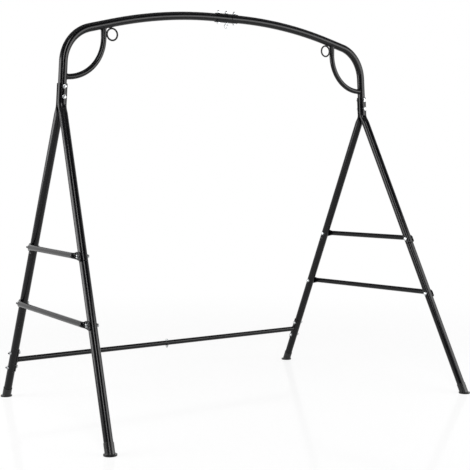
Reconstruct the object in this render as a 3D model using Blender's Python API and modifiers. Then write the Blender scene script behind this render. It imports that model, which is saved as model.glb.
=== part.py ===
"""Free-standing steel stand for a hanging porch swing: an arched beam on two splayed A-frames.

Metres, +Z up. The origin is on the floor under the middle of the beam, +X runs along the beam
to the right-hand A-frame and -Y is the front. Every tube is hollow and open at its ends.
"""
import math

import bmesh
import bpy
from mathutils import Matrix, Vector

# Stance
FRAME_HEIGHT = 1.830
FRONT_FEET_SPREAD = 1.979
REAR_FEET_SPREAD = 1.729
FEET_DEPTH = 1.248
FORK_DROP = 0.480

# Tubes
MAIN_TUBE = 0.038
RUNG_TUBE = 0.025
BRACE_TUBE = 0.025
BAR_TUBE = 0.025
MAIN_WALL = 0.0015
LIGHT_WALL = 0.0012
MAIN_SIDES = 16
LIGHT_SIDES = 12
FIT_GAP = 0.0003
SWAGE_LENGTH = 0.003
SMOOTH_ANGLE = math.radians(35)

# Beam: a level middle, a long arch, a straight shoulder, a tight corner and a leaning post
LEVEL_LENGTH = 0.131
ARCH_RADIUS = 2.304
SHOULDER_SLOPE = math.radians(13.9)
SHOULDER_LENGTH = 0.113
CORNER_RADIUS = 0.169
POST_LEAN = math.radians(3.65)
BEAM_SEAM_BEFORE_BOLT = 0.0235
BEAM_SPIGOT_PAST_BOLT = 0.0245
ARCH_STEPS = 5
CORNER_STEPS = 6

# Splice plates on the beam
SPLICE_LENGTH = 0.122
SPLICE_THICKNESS = 0.0025
SPLICE_HALF_ANGLE = math.radians(65)
SPLICE_BOLT_PITCH = 0.0455
PLATE_STEPS = 8

# Leg tops: the tube is pressed flat round one half of the post
SADDLE_TOP_ABOVE_FORK = 0.118
SADDLE_HALF_ANGLE = math.radians(80)
SADDLE_LENGTH = 0.075
PRESSING_LENGTH = 0.058
PRESSING_STEPS = 5
PRESSED_SLIT = 0.0003
POST_END_ABOVE_SADDLE_FOOT = 0.004
POST_BOLT_ABOVE_SADDLE_FOOT = 0.017
POST_BOLT_BELOW_SADDLE_TOP = 0.0135

# Leg joints under the upper rungs
LEG_SEAM_BELOW_RUNG = 0.024
LEG_SPIGOT_LENGTH = 0.060

# Side rungs, bolted to the outside of the legs
RUNG_HEIGHTS = {"upper": 0.745, "lower": 0.476}
RUNG_TUCK = 0.0015
RUNG_END_LENGTH = 0.0185
RUNG_END_HEIGHT = 0.041
RUNG_FLAT_LENGTH = 0.014
RUNG_TAPER_LENGTH = 0.028
RUNG_WRAP_ANGLE = math.radians(6)
RUNG_WRAP_EASE = 0.0015
RUNG_CORNER = 0.004
RUNG_CORNER_START = 0.6
RUNG_STEPS = 3

# Rear bar and the curved plates that hold it to the rear legs
BAR_HEIGHT = 0.190
BAR_SEAM_X = 0.041
BAR_SPIGOT_LENGTH = 0.080
BAR_PLATE_LENGTH = 0.117
BAR_PLATE_THICKNESS = 0.003
BAR_PLATE_HALF_ANGLE = math.radians(60)
BAR_PLATE_BOLT_PITCH = 0.080

# Corner braces and hanging rings
BRACE_FROM_ARCH = 0.0415
BRACE_STRAIGHT = 0.0545
BRACE_FOOT_RUN = 0.021
BRACE_STEPS = 7
COPE_REACH = 0.040
RING_DIAMETER = 0.060
RING_WIRE = 0.008
RING_SEGMENTS = 24
WIRE_SIDES = 8

# Foot caps
CAP_HEIGHT = 0.046
CAP_WALL = 0.0016
CAP_FLANGE_OVERHANG = 0.007
CAP_FLANGE_THICKNESS = 0.008
CAP_EDGE_ROUNDING = 0.0025
CAP_ROUNDING_STEPS = 2
LEG_END_HEIGHT = 0.0125

# Fasteners
BOLT_DIAMETER = 0.008
BOLT_SIDES = 8
HEX_ACROSS_FLATS = 0.013
HEX_SIDES = 6
HEAD_HEIGHT = 0.0053
NUT_HEIGHT = 0.0065
CENTRE_BOLT_TAIL = 0.0055
POST_BOLT_TAIL = 0.005
RUNG_BOLT_TAIL = 0.0067
BAR_PLATE_BOLT_TAIL = 0.0055
BAR_BOLT_TAIL = 0.005
EYE_DIAMETER = 0.024
EYE_WIRE = 0.006
EYE_NECK = 0.006
EYE_SEGMENTS = 16

SIDES = {"left": -1, "right": 1}
ENDS = {"front": -1, "rear": 1}
UP = Vector((0, 0, 1))
ROUND_OFF = 1e-6
FORK_HEIGHT = FRAME_HEIGHT - FORK_DROP
BEAM_AXIS_HEIGHT = FRAME_HEIGHT - MAIN_TUBE / 2
BEAM_SEAM_X = SPLICE_BOLT_PITCH - BEAM_SEAM_BEFORE_BOLT
BEAM_SPIGOT_TIP_X = -SPLICE_BOLT_PITCH - BEAM_SPIGOT_PAST_BOLT
SADDLE_TOP_HEIGHT = FORK_HEIGHT + SADDLE_TOP_ABOVE_FORK
SADDLE_FOOT_HEIGHT = SADDLE_TOP_HEIGHT - SADDLE_LENGTH
POST_END_HEIGHT = SADDLE_FOOT_HEIGHT + POST_END_ABOVE_SADDLE_FOOT
POST_BOLT_HEIGHTS = {"lower": SADDLE_FOOT_HEIGHT + POST_BOLT_ABOVE_SADDLE_FOOT,
                     "upper": SADDLE_TOP_HEIGHT - POST_BOLT_BELOW_SADDLE_TOP}
PRESSED_THICKNESS = 2 * MAIN_WALL + PRESSED_SLIT
RUNG_PRESSED_THICKNESS = 2 * LIGHT_WALL + PRESSED_SLIT


def start_scene():
    for thing in list(bpy.data.objects):
        bpy.data.objects.remove(thing)
    for name in ("swing_stand", "cutters"):
        bpy.context.scene.collection.children.link(bpy.data.collections.new(name))


def material(name, colour, roughness, metallic):
    finish = bpy.data.materials.new(name)
    finish.use_nodes = True
    shader = finish.node_tree.nodes["Principled BSDF"]
    shader.inputs["Base Color"].default_value = (*colour, 1)
    shader.inputs["Roughness"].default_value = roughness
    shader.inputs["Metallic"].default_value = metallic
    return finish


def add_part(name, mesh, finish=None):
    """Puts a mesh in the stand's collection as one named piece."""
    part = bpy.data.objects.new(name, mesh)
    bpy.data.collections["swing_stand"].objects.link(part)
    if finish:
        mesh.materials.clear()
        mesh.materials.append(finish)
    mesh.shade_smooth()
    mesh.set_sharp_from_angle(angle=SMOOTH_ANGLE)
    return part


def add_cutter(name, mesh):
    cutter = bpy.data.objects.new(name, mesh)
    bpy.data.collections["cutters"].objects.link(cutter)
    cutter.hide_render = True
    cutter.display_type = "WIRE"
    return cutter


def combine(part, other, operation):
    modifier = part.modifiers.new(other.name, "BOOLEAN")
    modifier.operation = operation
    modifier.object = other


def mesh_of(thing):
    """The finished mesh of an object with its modifiers or its curve worked out."""
    seen = thing.evaluated_get(bpy.context.evaluated_depsgraph_get())
    mesh = bpy.data.meshes.new_from_object(seen)
    bpy.data.objects.remove(thing)
    return mesh


def aim(thing, place, direction):
    """Stands an object at a place with its own Z axis along a direction."""
    thing.location = place
    thing.rotation_euler = direction.to_track_quat("Z", "Y").to_euler()


def cylinder_mesh(name, sides, radius, start, end):
    """Cylinder on the Z axis from start to end, measured to its corners, with a flat facing +X."""
    builder = bmesh.new()
    middle = Matrix.Translation((0, 0, (start + end) / 2))
    turn = Matrix.Rotation(math.pi / sides + math.pi / 2, 4, "Z")
    bmesh.ops.create_cone(builder, cap_ends=True, segments=sides, radius1=radius, radius2=radius,
                          depth=end - start, matrix=middle @ turn)
    mesh = bpy.data.meshes.new(name)
    builder.to_mesh(mesh)
    builder.free()
    return mesh


def around(radius, step):
    """Corner radius of an arc whose chords, each one step wide, keep outside the given radius."""
    return radius / math.cos(step / 2)


def polygon_around(radius, sides):
    return around(radius, 2 * math.pi / sides)


def drill(parts, place, direction, reach):
    """Cuts one bolt hole through every part that the bolt passes."""
    radius = polygon_around(BOLT_DIAMETER / 2 + FIT_GAP, BOLT_SIDES)
    hole = cylinder_mesh("hole", BOLT_SIDES, radius, -reach, reach)
    cutter = add_cutter(parts[0].name + "_hole", hole)
    aim(cutter, place, direction)
    for part in parts:
        combine(part, cutter, "DIFFERENCE")


def tube(name, points, radii, wall, sides, finish):
    """Hollow tube along a line of points, open at both ends, with a radius for each point."""
    curve = bpy.data.curves.new(name, "CURVE")
    curve.dimensions = "3D"
    curve.bevel_depth = 1.0
    curve.bevel_resolution = (sides - 4) // 2
    spline = curve.splines.new("POLY")
    spline.points.add(len(points) - 1)
    for knot, point, radius in zip(spline.points, points, radii):
        knot.co = (*point, 1)
        knot.radius = radius
    guide = add_cutter(name + "_line", curve)
    part = add_part(name, mesh_of(guide), finish)
    shell = part.modifiers.new("wall", "SOLIDIFY")
    shell.thickness = wall
    shell.offset = -1
    return part


def swaged_radii(points, seam, radius, wall, sides):
    """Radii that step down, at the seam point, to a spigot whose corners clear the outer tube."""
    slim = (radius - wall) * math.cos(math.pi / sides) - FIT_GAP
    return [radius if index > seam else slim for index in range(len(points))]


def straight(points, heading, length):
    """Carries a centre line in the X-Z plane on by a straight run."""
    x, z = points[-1]
    points.append((x + length * math.cos(heading), z - length * math.sin(heading)))


def bend(points, heading, radius, turn, steps):
    """Carries a centre line round a bend that turns it downwards and gives its new heading."""
    x, z = points[-1]
    for step in range(1, steps + 1):
        angle = heading + turn * step / steps
        points.append((x + radius * (math.sin(angle) - math.sin(heading)),
                       z - radius * (math.cos(heading) - math.cos(angle))))
    return heading + turn


def beam_line():
    """Centre line of half the beam, from the end of its level middle to the foot of its post."""
    points = [(LEVEL_LENGTH / 2, BEAM_AXIS_HEIGHT)]
    heading = bend(points, 0, ARCH_RADIUS, SHOULDER_SLOPE, ARCH_STEPS)
    straight(points, heading, SHOULDER_LENGTH)
    down = math.pi / 2 - POST_LEAN
    heading = bend(points, heading, CORNER_RADIUS, down - heading, CORNER_STEPS)
    straight(points, heading, (points[-1][1] - POST_END_HEIGHT) / math.cos(POST_LEAN))
    return points


BEAM_LINE = beam_line()
POST_X, POST_Z = BEAM_LINE[-1]
SHOULDER_X, SHOULDER_Z = BEAM_LINE[ARCH_STEPS]


def post_point(side, height):
    """Point of a post's axis at a height, carried on below the post's end."""
    return Vector((side * (POST_X + (POST_Z - height) * math.tan(POST_LEAN)), 0, height))


def leg_point(side, end, height):
    """Point of a leg's axis at a height."""
    spread = FRONT_FEET_SPREAD if end < 0 else REAR_FEET_SPREAD
    foot = Vector((side * spread / 2, end * FEET_DEPTH / 2, 0))
    fork = post_point(side, FORK_HEIGHT) + Vector((0, end * MAIN_TUBE / 2, 0))
    return foot.lerp(fork, height / FORK_HEIGHT)


def leg_direction(side, end):
    return (leg_point(side, end, FORK_HEIGHT) - leg_point(side, end, 0)).normalized()


def loft_tube(name, outer_rings, inner_rings, finish):
    """Hollow piece between an outer and an inner skin of rings, open at both ends."""
    builder = bmesh.new()
    skins = []
    for rings in (outer_rings, inner_rings):
        skins.append([[builder.verts.new(point) for point in ring] for ring in rings])
    bands = [pair for skin in skins for pair in zip(skin, skin[1:])]
    bands += [(skins[0][0], skins[1][0]), (skins[0][-1], skins[1][-1])]
    for first, second in bands:
        for index in range(len(first)):
            builder.faces.new((first[index - 1], first[index], second[index], second[index - 1]))
    bmesh.ops.recalc_face_normals(builder, faces=builder.faces)
    mesh = bpy.data.meshes.new(name)
    builder.to_mesh(mesh)
    builder.free()
    return add_part(name, mesh, finish)


def ease(share):
    """Smooth step from 0 to 1."""
    share = min(max(share, 0), 1)
    return share * share * (3 - 2 * share)


def ring_angles(sides):
    return [2 * math.pi * index / sides for index in range(sides)]


def pressed(angle):
    """Place of a tube's wall point once it is pressed flat: (share of half width, which face)."""
    across = 2 / math.pi * math.asin(math.sin(angle))
    facing = math.cos(angle)
    face = 0 if abs(facing) < ROUND_OFF else math.copysign(1, facing)
    return across, face


def make_beam_half(side, finish):
    """One half of the arched beam with its post; the right half carries the inner spigot."""
    outline = [Vector((side * x, 0, z)) for x, z in BEAM_LINE]
    radius = MAIN_TUBE / 2
    seam = Vector((BEAM_SEAM_X, 0, BEAM_AXIS_HEIGHT))
    if side < 0:
        points = [seam] + outline
        radii = [radius] * len(points)
        name = "beam_left"
    else:
        shoulder = seam + Vector((FIT_GAP, 0, 0))
        tip = Vector((BEAM_SPIGOT_TIP_X, 0, BEAM_AXIS_HEIGHT))
        points = [tip, shoulder, shoulder + Vector((SWAGE_LENGTH, 0, 0))] + outline
        radii = swaged_radii(points, 1, radius, MAIN_WALL, MAIN_SIDES)
        name = "beam_right"
    return tube(name, points, radii, MAIN_WALL, MAIN_SIDES, finish)


def saddle_seat():
    """Radius of a leg saddle's inner face, whose chords clear the post."""
    return around(MAIN_TUBE / 2 + FIT_GAP, SADDLE_HALF_ANGLE * 4 / MAIN_SIDES)


def leg_top_rings(side, end, radius, thickness):
    """Rings from the round leg tube to the saddle that its pressed top makes round the post."""
    post_up = (post_point(side, 1) - post_point(side, 0)).normalized()
    leg_up = leg_direction(side, end)
    facing = Vector((0, end, 0))
    leg_facing = (facing - facing.dot(leg_up) * leg_up).normalized()
    across_leg = leg_up.cross(leg_facing)
    across_post = post_up.cross(facing)
    middle = saddle_seat() + PRESSED_THICKNESS / 2
    shares = [step / PRESSING_STEPS for step in range(PRESSING_STEPS + 1)]
    stations = [(SADDLE_FOOT_HEIGHT - PRESSING_LENGTH * (1 - share), ease(share)) for share in shares]
    edge = (PRESSED_THICKNESS - thickness) / 2 / middle
    rings = []
    for height, share in stations + [(SADDLE_TOP_HEIGHT, 1)]:
        leg_centre = leg_point(side, end, height)
        post_centre = post_point(side, height)
        ring = []
        for angle in ring_angles(MAIN_SIDES):
            across, face = pressed(angle)
            turn = across * (SADDLE_HALF_ANGLE - edge)
            depth = middle + face * thickness / 2
            round_spoke = math.cos(angle) * leg_facing + math.sin(angle) * across_leg
            saddle_spoke = math.cos(turn) * facing + math.sin(turn) * across_post
            round_place = leg_centre + radius * round_spoke
            ring.append(round_place.lerp(post_centre + depth * saddle_spoke, share))
        rings.append(ring)
    return rings


def round_ring(centre, direction, towards, sides, radius):
    """Ring of a round tube, counted from the side that faces towards."""
    facing = (towards - towards.dot(direction) * direction).normalized()
    across = direction.cross(facing)
    spokes = [math.cos(angle) * facing + math.sin(angle) * across for angle in ring_angles(sides)]
    return [centre + radius * spoke for spoke in spokes]


def leg_seam(side, end):
    """Point where the upper leg ends, a little below the upper rung's bolt."""
    bolt_place = leg_point(side, end, RUNG_HEIGHTS["upper"])
    return bolt_place - leg_direction(side, end) * LEG_SEAM_BELOW_RUNG


def make_upper_leg(side_name, end_name, finish):
    """Upper half of a leg: a round tube whose top is pressed into a saddle on the post."""
    side, end = SIDES[side_name], ENDS[end_name]
    seam, up, facing = leg_seam(side, end), leg_direction(side, end), Vector((0, end, 0))
    radius = MAIN_TUBE / 2
    skins = []
    for skin_radius, thickness in ((radius, PRESSED_THICKNESS), (radius - MAIN_WALL, PRESSED_SLIT)):
        mouth = round_ring(seam, up, facing, MAIN_SIDES, skin_radius)
        skins.append([mouth] + leg_top_rings(side, end, skin_radius, thickness))
    return loft_tube(f"upper_leg_{end_name}_{side_name}", *skins, finish)


def make_lower_leg(side_name, end_name, finish):
    """Lower half of a leg: a tube with a swaged spigot that goes up inside the upper half."""
    side, end = SIDES[side_name], ENDS[end_name]
    up = leg_direction(side, end)
    shoulder = leg_seam(side, end) - up * FIT_GAP
    points = [shoulder + up * LEG_SPIGOT_LENGTH, shoulder, shoulder - up * SWAGE_LENGTH,
              leg_point(side, end, LEG_END_HEIGHT)]
    radii = swaged_radii(points, 1, MAIN_TUBE / 2, MAIN_WALL, MAIN_SIDES)
    return tube(f"lower_leg_{end_name}_{side_name}", points, radii, MAIN_WALL, MAIN_SIDES, finish)


class RungPlace:
    """Line of a side rung between its two legs, with the direction that faces out of the stand."""

    def __init__(self, side, height):
        self.front = leg_point(side, -1, height)
        self.rear = leg_point(side, 1, height)
        self.length = (self.rear - self.front).length
        self.along = (self.rear - self.front).normalized()
        out = leg_direction(side, -1).cross(leg_direction(side, 1))
        self.out = out.normalized() * math.copysign(1, out.x * side)
        self.up = self.along.cross(self.out).normalized()
        self.up *= math.copysign(1, self.up.z)


def rung_ring(place, side, station, radius, thickness):
    """Ring of a rung at a distance from the front leg's axis: round, pressed flat or between."""
    at_front = station < place.length / 2
    inward = station if at_front else place.length - station
    leg, end = (place.front, -1) if at_front else (place.rear, 1)
    inset = (RUNG_PRESSED_THICKNESS - thickness) / 2
    share = 1 - ease((inward - RUNG_FLAT_LENGTH) / RUNG_TAPER_LENGTH)
    flare = 1 - ease(inward / (RUNG_FLAT_LENGTH + RUNG_TAPER_LENGTH))
    corner = max(0, -inward / RUNG_END_LENGTH - RUNG_CORNER_START) / (1 - RUNG_CORNER_START)
    half_height = RUNG_TUBE / 2 + flare * (RUNG_END_HEIGHT - RUNG_TUBE) / 2 - inset
    half_height -= RUNG_CORNER * corner ** 2
    leg_up = leg_direction(side, end)
    sideways = leg_up.cross(place.out)
    sideways *= math.copysign(1, sideways.dot(place.along) * end)
    seat = MAIN_TUBE / 2 + FIT_GAP
    wrap_radius = seat + RUNG_WRAP_EASE
    wrap_limit = wrap_radius * math.sin(RUNG_WRAP_ANGLE)
    centre = place.front + place.along * station
    ring = []
    for angle in ring_angles(LIGHT_SIDES):
        across, face = pressed(angle)
        tube_place = centre + place.out * (MAIN_TUBE / 2 + RUNG_TUBE / 2 - RUNG_TUCK)
        tube_place += radius * (math.cos(angle) * place.out + math.sin(angle) * place.up)
        offset = centre + across * half_height * leg_up - leg
        beyond = max(0, offset.dot(sideways))
        wrapped = min(beyond, wrap_limit)
        drop = wrap_radius - math.sqrt(wrap_radius ** 2 - wrapped ** 2)
        drop += (beyond - wrapped) * math.tan(RUNG_WRAP_ANGLE)
        level = seat - drop + (RUNG_PRESSED_THICKNESS + face * thickness) / 2
        flat_place = leg + offset + place.out * (level - offset.dot(place.out))
        ring.append(tube_place.lerp(flat_place, share))
    return ring


def make_rung(side_name, level, finish):
    """Side rung: a light tube whose two ends, pressed flat, lie on the outside of the legs."""
    side = SIDES[side_name]
    place = RungPlace(side, RUNG_HEIGHTS[level])
    shares = [step / RUNG_STEPS for step in range(RUNG_STEPS + 1)]
    near = [-RUNG_END_LENGTH * share for share in reversed(shares)]
    near += [RUNG_FLAT_LENGTH + RUNG_TAPER_LENGTH * share for share in shares]
    stations = near + [place.length - station for station in reversed(near)]
    radius = RUNG_TUBE / 2
    skins = []
    for skin_radius, thickness in ((radius, RUNG_PRESSED_THICKNESS), (radius - LIGHT_WALL, PRESSED_SLIT)):
        skins.append([rung_ring(place, side, station, skin_radius, thickness) for station in stations])
    return loft_tube(f"{level}_rung_{side_name}", *skins, finish)


def hugging_plate(name, place, along, facing, length, thickness, half_angle, finish):
    """Curved plate that hugs a main tube: an arc drawn out along the tube, then thickened."""
    radius = around(MAIN_TUBE / 2 + FIT_GAP, 2 * half_angle / PLATE_STEPS)
    across = along.cross(facing)
    builder = bmesh.new()
    rows = []
    for reach in (-length / 2, length / 2):
        turns = [half_angle * (2 * step / PLATE_STEPS - 1) for step in range(PLATE_STEPS + 1)]
        arc = [math.cos(turn) * facing + math.sin(turn) * across for turn in turns]
        rows.append([builder.verts.new(place + along * reach + radius * spoke) for spoke in arc])
    for step in range(PLATE_STEPS):
        builder.faces.new((rows[0][step], rows[0][step + 1], rows[1][step + 1], rows[1][step]))
    mesh = bpy.data.meshes.new(name)
    builder.to_mesh(mesh)
    builder.free()
    plate = add_part(name, mesh, finish)
    shell = plate.modifiers.new("thickness", "SOLIDIFY")
    shell.thickness = thickness
    shell.offset = 1
    return plate


def make_splice_plates(finish):
    """Two half-shell plates over and under the beam's seam."""
    place = Vector((0, 0, BEAM_AXIS_HEIGHT))
    return [hugging_plate(name, place, Vector((1, 0, 0)), facing, SPLICE_LENGTH, SPLICE_THICKNESS,
                          SPLICE_HALF_ANGLE, finish)
            for name, facing in (("splice_plate_top", UP), ("splice_plate_bottom", -UP))]


def bar_point(side):
    return leg_point(side, 1, BAR_HEIGHT)


def bar_plate_facing(side):
    """Direction from a rear leg's axis to the rear bar, square to the leg."""
    up = leg_direction(side, 1)
    inward = Vector((-side, 0, 0))
    return (inward - inward.dot(up) * up).normalized()


def make_bar_plate(side_name, finish):
    side = SIDES[side_name]
    return hugging_plate(f"bar_plate_{side_name}", bar_point(side), leg_direction(side, 1),
                         bar_plate_facing(side), BAR_PLATE_LENGTH, BAR_PLATE_THICKNESS,
                         BAR_PLATE_HALF_ANGLE, finish)


def make_rear_bar_half(side, finish):
    """One half of the low rear bar; the right half carries the inner spigot."""
    end = bar_point(side)
    end.x -= side * (MAIN_TUBE / 2 + BAR_PLATE_THICKNESS + 3 * FIT_GAP)
    seam = Vector((BAR_SEAM_X, end.y, end.z))
    radius = BAR_TUBE / 2
    if side < 0:
        return tube("rear_bar_left", [seam, end], [radius] * 2, LIGHT_WALL, LIGHT_SIDES, finish)
    tip = seam - Vector((BAR_SPIGOT_LENGTH, 0, 0))
    shoulder = seam + Vector((FIT_GAP, 0, 0))
    points = [tip, shoulder, shoulder + Vector((SWAGE_LENGTH, 0, 0)), end]
    radii = swaged_radii(points, 1, radius, LIGHT_WALL, LIGHT_SIDES)
    return tube("rear_bar_right", points, radii, LIGHT_WALL, LIGHT_SIDES, finish)


def shoulder_height(x):
    """Height of the beam's axis on its straight shoulder."""
    return SHOULDER_Z - (x - SHOULDER_X) * math.tan(SHOULDER_SLOPE)


def brace_upright_x():
    return SHOULDER_X + BRACE_FROM_ARCH * math.cos(SHOULDER_SLOPE)


def brace_bend_radius():
    """Radius of the quarter turn that takes the brace from its upright run into the post."""
    bend_top = shoulder_height(brace_upright_x()) - BRACE_STRAIGHT
    room = post_point(1, bend_top).x - brace_upright_x() - BRACE_FOOT_RUN
    return room / (1 - math.tan(POST_LEAN))


def make_corner_brace(side_name, finish):
    """Quarter-round tube between beam and post, with both ends cut to fit the main tube."""
    side = SIDES[side_name]
    upright_x = brace_upright_x()
    radius = brace_bend_radius()
    head = Vector((side * upright_x, 0, shoulder_height(upright_x)))
    centre = head + Vector((side * radius, 0, -BRACE_STRAIGHT))
    foot = post_point(side, centre.z - radius)
    line = [head]
    for step in range(BRACE_STEPS + 1):
        angle = math.pi / 2 * step / BRACE_STEPS
        line.append(centre - radius * Vector((side * math.cos(angle), 0, math.sin(angle))))
    line.append(foot)
    radii = [BRACE_TUBE / 2] * len(line)
    brace = tube(f"corner_brace_{side_name}", line, radii, LIGHT_WALL, LIGHT_SIDES, finish)
    shoulder_way = Vector((side * math.cos(SHOULDER_SLOPE), 0, -math.sin(SHOULDER_SLOPE)))
    post_way = Vector((side * math.sin(POST_LEAN), 0, -math.cos(POST_LEAN)))
    cope_radius = polygon_around(MAIN_TUBE / 2 + FIT_GAP, 2 * MAIN_SIDES)
    for place, way in ((head, shoulder_way), (foot, post_way)):
        mesh = cylinder_mesh("cope", 2 * MAIN_SIDES, cope_radius, -COPE_REACH, COPE_REACH)
        cope = add_cutter(brace.name + "_cope", mesh)
        aim(cope, place, way)
        combine(brace, cope, "DIFFERENCE")
    return brace


def wire_ring_mesh(name, outer_diameter, wire, segments):
    """Ring of round wire in the X-Z plane, about the origin."""
    bpy.ops.mesh.primitive_torus_add(major_radius=(outer_diameter - wire) / 2, minor_radius=wire / 2,
                                     major_segments=segments, minor_segments=WIRE_SIDES)
    ring = bpy.context.object
    mesh = ring.data
    mesh.name = name
    bpy.data.objects.remove(ring)
    mesh.transform(Matrix.Rotation(math.pi / 2, 4, "X"))
    return mesh


def make_hanging_ring(side_name, finish):
    """Ring of round wire welded in the corner between the beam and a corner brace."""
    name = f"hanging_ring_{side_name}"
    outer = RING_DIAMETER / 2 + FIT_GAP
    x = brace_upright_x() - BRACE_TUBE / 2 - outer
    z = shoulder_height(x) - (MAIN_TUBE / 2 + outer) / math.cos(SHOULDER_SLOPE)
    ring = add_part(name, wire_ring_mesh(name, RING_DIAMETER, RING_WIRE, RING_SEGMENTS), finish)
    ring.location = (SIDES[side_name] * x, 0, z)
    return ring


def make_foot_cap(side_name, end_name, finish):
    """Plastic cap with a flat round foot and a sleeve that slopes with the leg."""
    side, end = SIDES[side_name], ENDS[end_name]
    name = f"foot_cap_{end_name}_{side_name}"
    foot = leg_point(side, end, 0)
    up = leg_direction(side, end)
    slant = 1 / up.z
    socket_radius = polygon_around(MAIN_TUBE / 2 + FIT_GAP, MAIN_SIDES)
    sleeve_radius = socket_radius + CAP_WALL
    flange_radius = sleeve_radius + CAP_FLANGE_OVERHANG
    flange = cylinder_mesh(name, MAIN_SIDES, flange_radius, 0, CAP_FLANGE_THICKNESS)
    cap = add_part(name, flange, finish)
    cap.location = foot
    rounding = cap.modifiers.new("rounding", "BEVEL")
    rounding.width = CAP_EDGE_ROUNDING
    rounding.segments = CAP_ROUNDING_STEPS
    rounding.limit_method = "ANGLE"
    sleeve_start = sleeve_radius * math.tan(math.acos(up.z)) + FIT_GAP
    socket_start = LEG_END_HEIGHT * slant - FIT_GAP
    sleeve = cylinder_mesh("sleeve", MAIN_SIDES, sleeve_radius, sleeve_start, CAP_HEIGHT * slant)
    socket = cylinder_mesh("socket", MAIN_SIDES, socket_radius, socket_start, 2 * CAP_HEIGHT * slant)
    for mesh, operation in ((sleeve, "UNION"), (socket, "DIFFERENCE")):
        cutter = add_cutter(f"{name}_{mesh.name}", mesh)
        aim(cutter, foot, up)
        combine(cap, cutter, operation)
    return cap


def hex_radius():
    return polygon_around(HEX_ACROSS_FLATS / 2, HEX_SIDES)


def bolt_mesh(name, grip, tail, with_nut):
    """Hex bolt from its head, which ends at Z = 0, along +Z; its tail shows past the nut."""
    nut_end = grip + NUT_HEIGHT
    shank = cylinder_mesh(name, BOLT_SIDES, BOLT_DIAMETER / 2, -HEAD_HEIGHT / 2, nut_end + tail)
    bolt = add_cutter(name, shank)
    extras = [cylinder_mesh("head", HEX_SIDES, hex_radius(), -HEAD_HEIGHT, 0)]
    if with_nut:
        extras.append(cylinder_mesh("nut", HEX_SIDES, hex_radius(), grip, nut_end))
    for mesh in extras:
        combine(bolt, add_cutter(mesh.name, mesh), "UNION")
    return mesh_of(bolt)


def nut_mesh(name):
    nut = add_cutter(name, cylinder_mesh(name, HEX_SIDES, hex_radius(), 0, NUT_HEIGHT))
    bore_radius = polygon_around(BOLT_DIAMETER / 2 + FIT_GAP, BOLT_SIDES)
    bore = cylinder_mesh("bore", BOLT_SIDES, bore_radius, -NUT_HEIGHT, 2 * NUT_HEIGHT)
    combine(nut, add_cutter("bore", bore), "DIFFERENCE")
    return mesh_of(nut)


def eye_bolt_mesh(name, grip, tail):
    """Eye bolt that stands on Z = 0 like the hex bolts, with its eye below and its nut joined."""
    nut_end = grip + NUT_HEIGHT
    eye = wire_ring_mesh(name, EYE_DIAMETER, EYE_WIRE, EYE_SEGMENTS)
    eye.transform(Matrix.Translation((0, 0, -EYE_NECK - (EYE_DIAMETER - EYE_WIRE) / 2)))
    bolt = add_cutter(name, eye)
    shank = cylinder_mesh("shank", BOLT_SIDES, BOLT_DIAMETER / 2, -EYE_NECK, nut_end + tail)
    nut = cylinder_mesh("nut", HEX_SIDES, hex_radius(), grip, nut_end)
    for mesh in (shank, nut):
        combine(bolt, add_cutter(mesh.name, mesh), "UNION")
    return mesh_of(bolt)


def place_bolt(name, mesh, place, direction, finish):
    """Puts a fastener so that its underside lies at a place and its shank runs along a direction."""
    bolt = add_part(name, mesh, finish)
    aim(bolt, place, direction)
    return bolt


def fasten_splice(plates, beams, finish):
    """Two hex bolts and an eye bolt, all upright through the splice plates and the beam."""
    reach = MAIN_TUBE / 2 + SPLICE_THICKNESS + 2 * FIT_GAP
    middle = Vector((0, 0, BEAM_AXIS_HEIGHT))
    hex_bolt = bolt_mesh("splice_bolt", 2 * reach, CENTRE_BOLT_TAIL, True)
    eye_bolt = eye_bolt_mesh("eye_bolt", 2 * reach, CENTRE_BOLT_TAIL)
    for name, offset, mesh in (("splice_bolt_left", -1, hex_bolt), ("eye_bolt_middle", 0, eye_bolt),
                               ("splice_bolt_right", 1, hex_bolt)):
        place = middle + Vector((offset * SPLICE_BOLT_PITCH, 0, 0))
        drill(plates + beams, place, UP, 2 * reach)
        place_bolt(name, mesh, place - UP * reach, UP, finish)


def fasten_posts(parts, finish):
    """Two bolts per post, front to rear through both leg saddles and the post."""
    reach = saddle_seat() + PRESSED_THICKNESS + FIT_GAP
    back = Vector((0, 1, 0))
    mesh = bolt_mesh("post_bolt", 2 * reach, POST_BOLT_TAIL, True)
    for side_name, side in SIDES.items():
        joined = [parts[f"beam_{side_name}"]] + [parts[f"upper_leg_{end}_{side_name}"] for end in ENDS]
        for level, height in POST_BOLT_HEIGHTS.items():
            place = post_point(side, height)
            drill(joined, place, back, 2 * reach)
            place_bolt(f"post_bolt_{level}_{side_name}", mesh, place - back * reach, back, finish)


def fasten_rungs(parts, finish):
    """One bolt and nut through each end of each rung, head on the inside of the leg."""
    head = MAIN_TUBE / 2 + FIT_GAP
    seat = MAIN_TUBE / 2 + RUNG_PRESSED_THICKNESS + 2 * FIT_GAP
    bolt = bolt_mesh("rung_bolt", head + seat, RUNG_BOLT_TAIL, False)
    nut = nut_mesh("rung_nut")
    for side_name, side in SIDES.items():
        for level, height in RUNG_HEIGHTS.items():
            place = RungPlace(side, height)
            for end_name, centre in (("front", place.front), ("rear", place.rear)):
                where = f"{level}_{end_name}_{side_name}"
                joined = [parts[f"{level}_rung_{side_name}"], parts[f"lower_leg_{end_name}_{side_name}"]]
                if level == "upper":
                    joined.append(parts[f"upper_leg_{end_name}_{side_name}"])
                drill(joined, centre, place.out, 2 * seat)
                place_bolt(f"rung_bolt_{where}", bolt, centre - place.out * head, place.out, finish)
                place_bolt(f"rung_nut_{where}", nut, centre + place.out * seat, place.out, finish)


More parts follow.
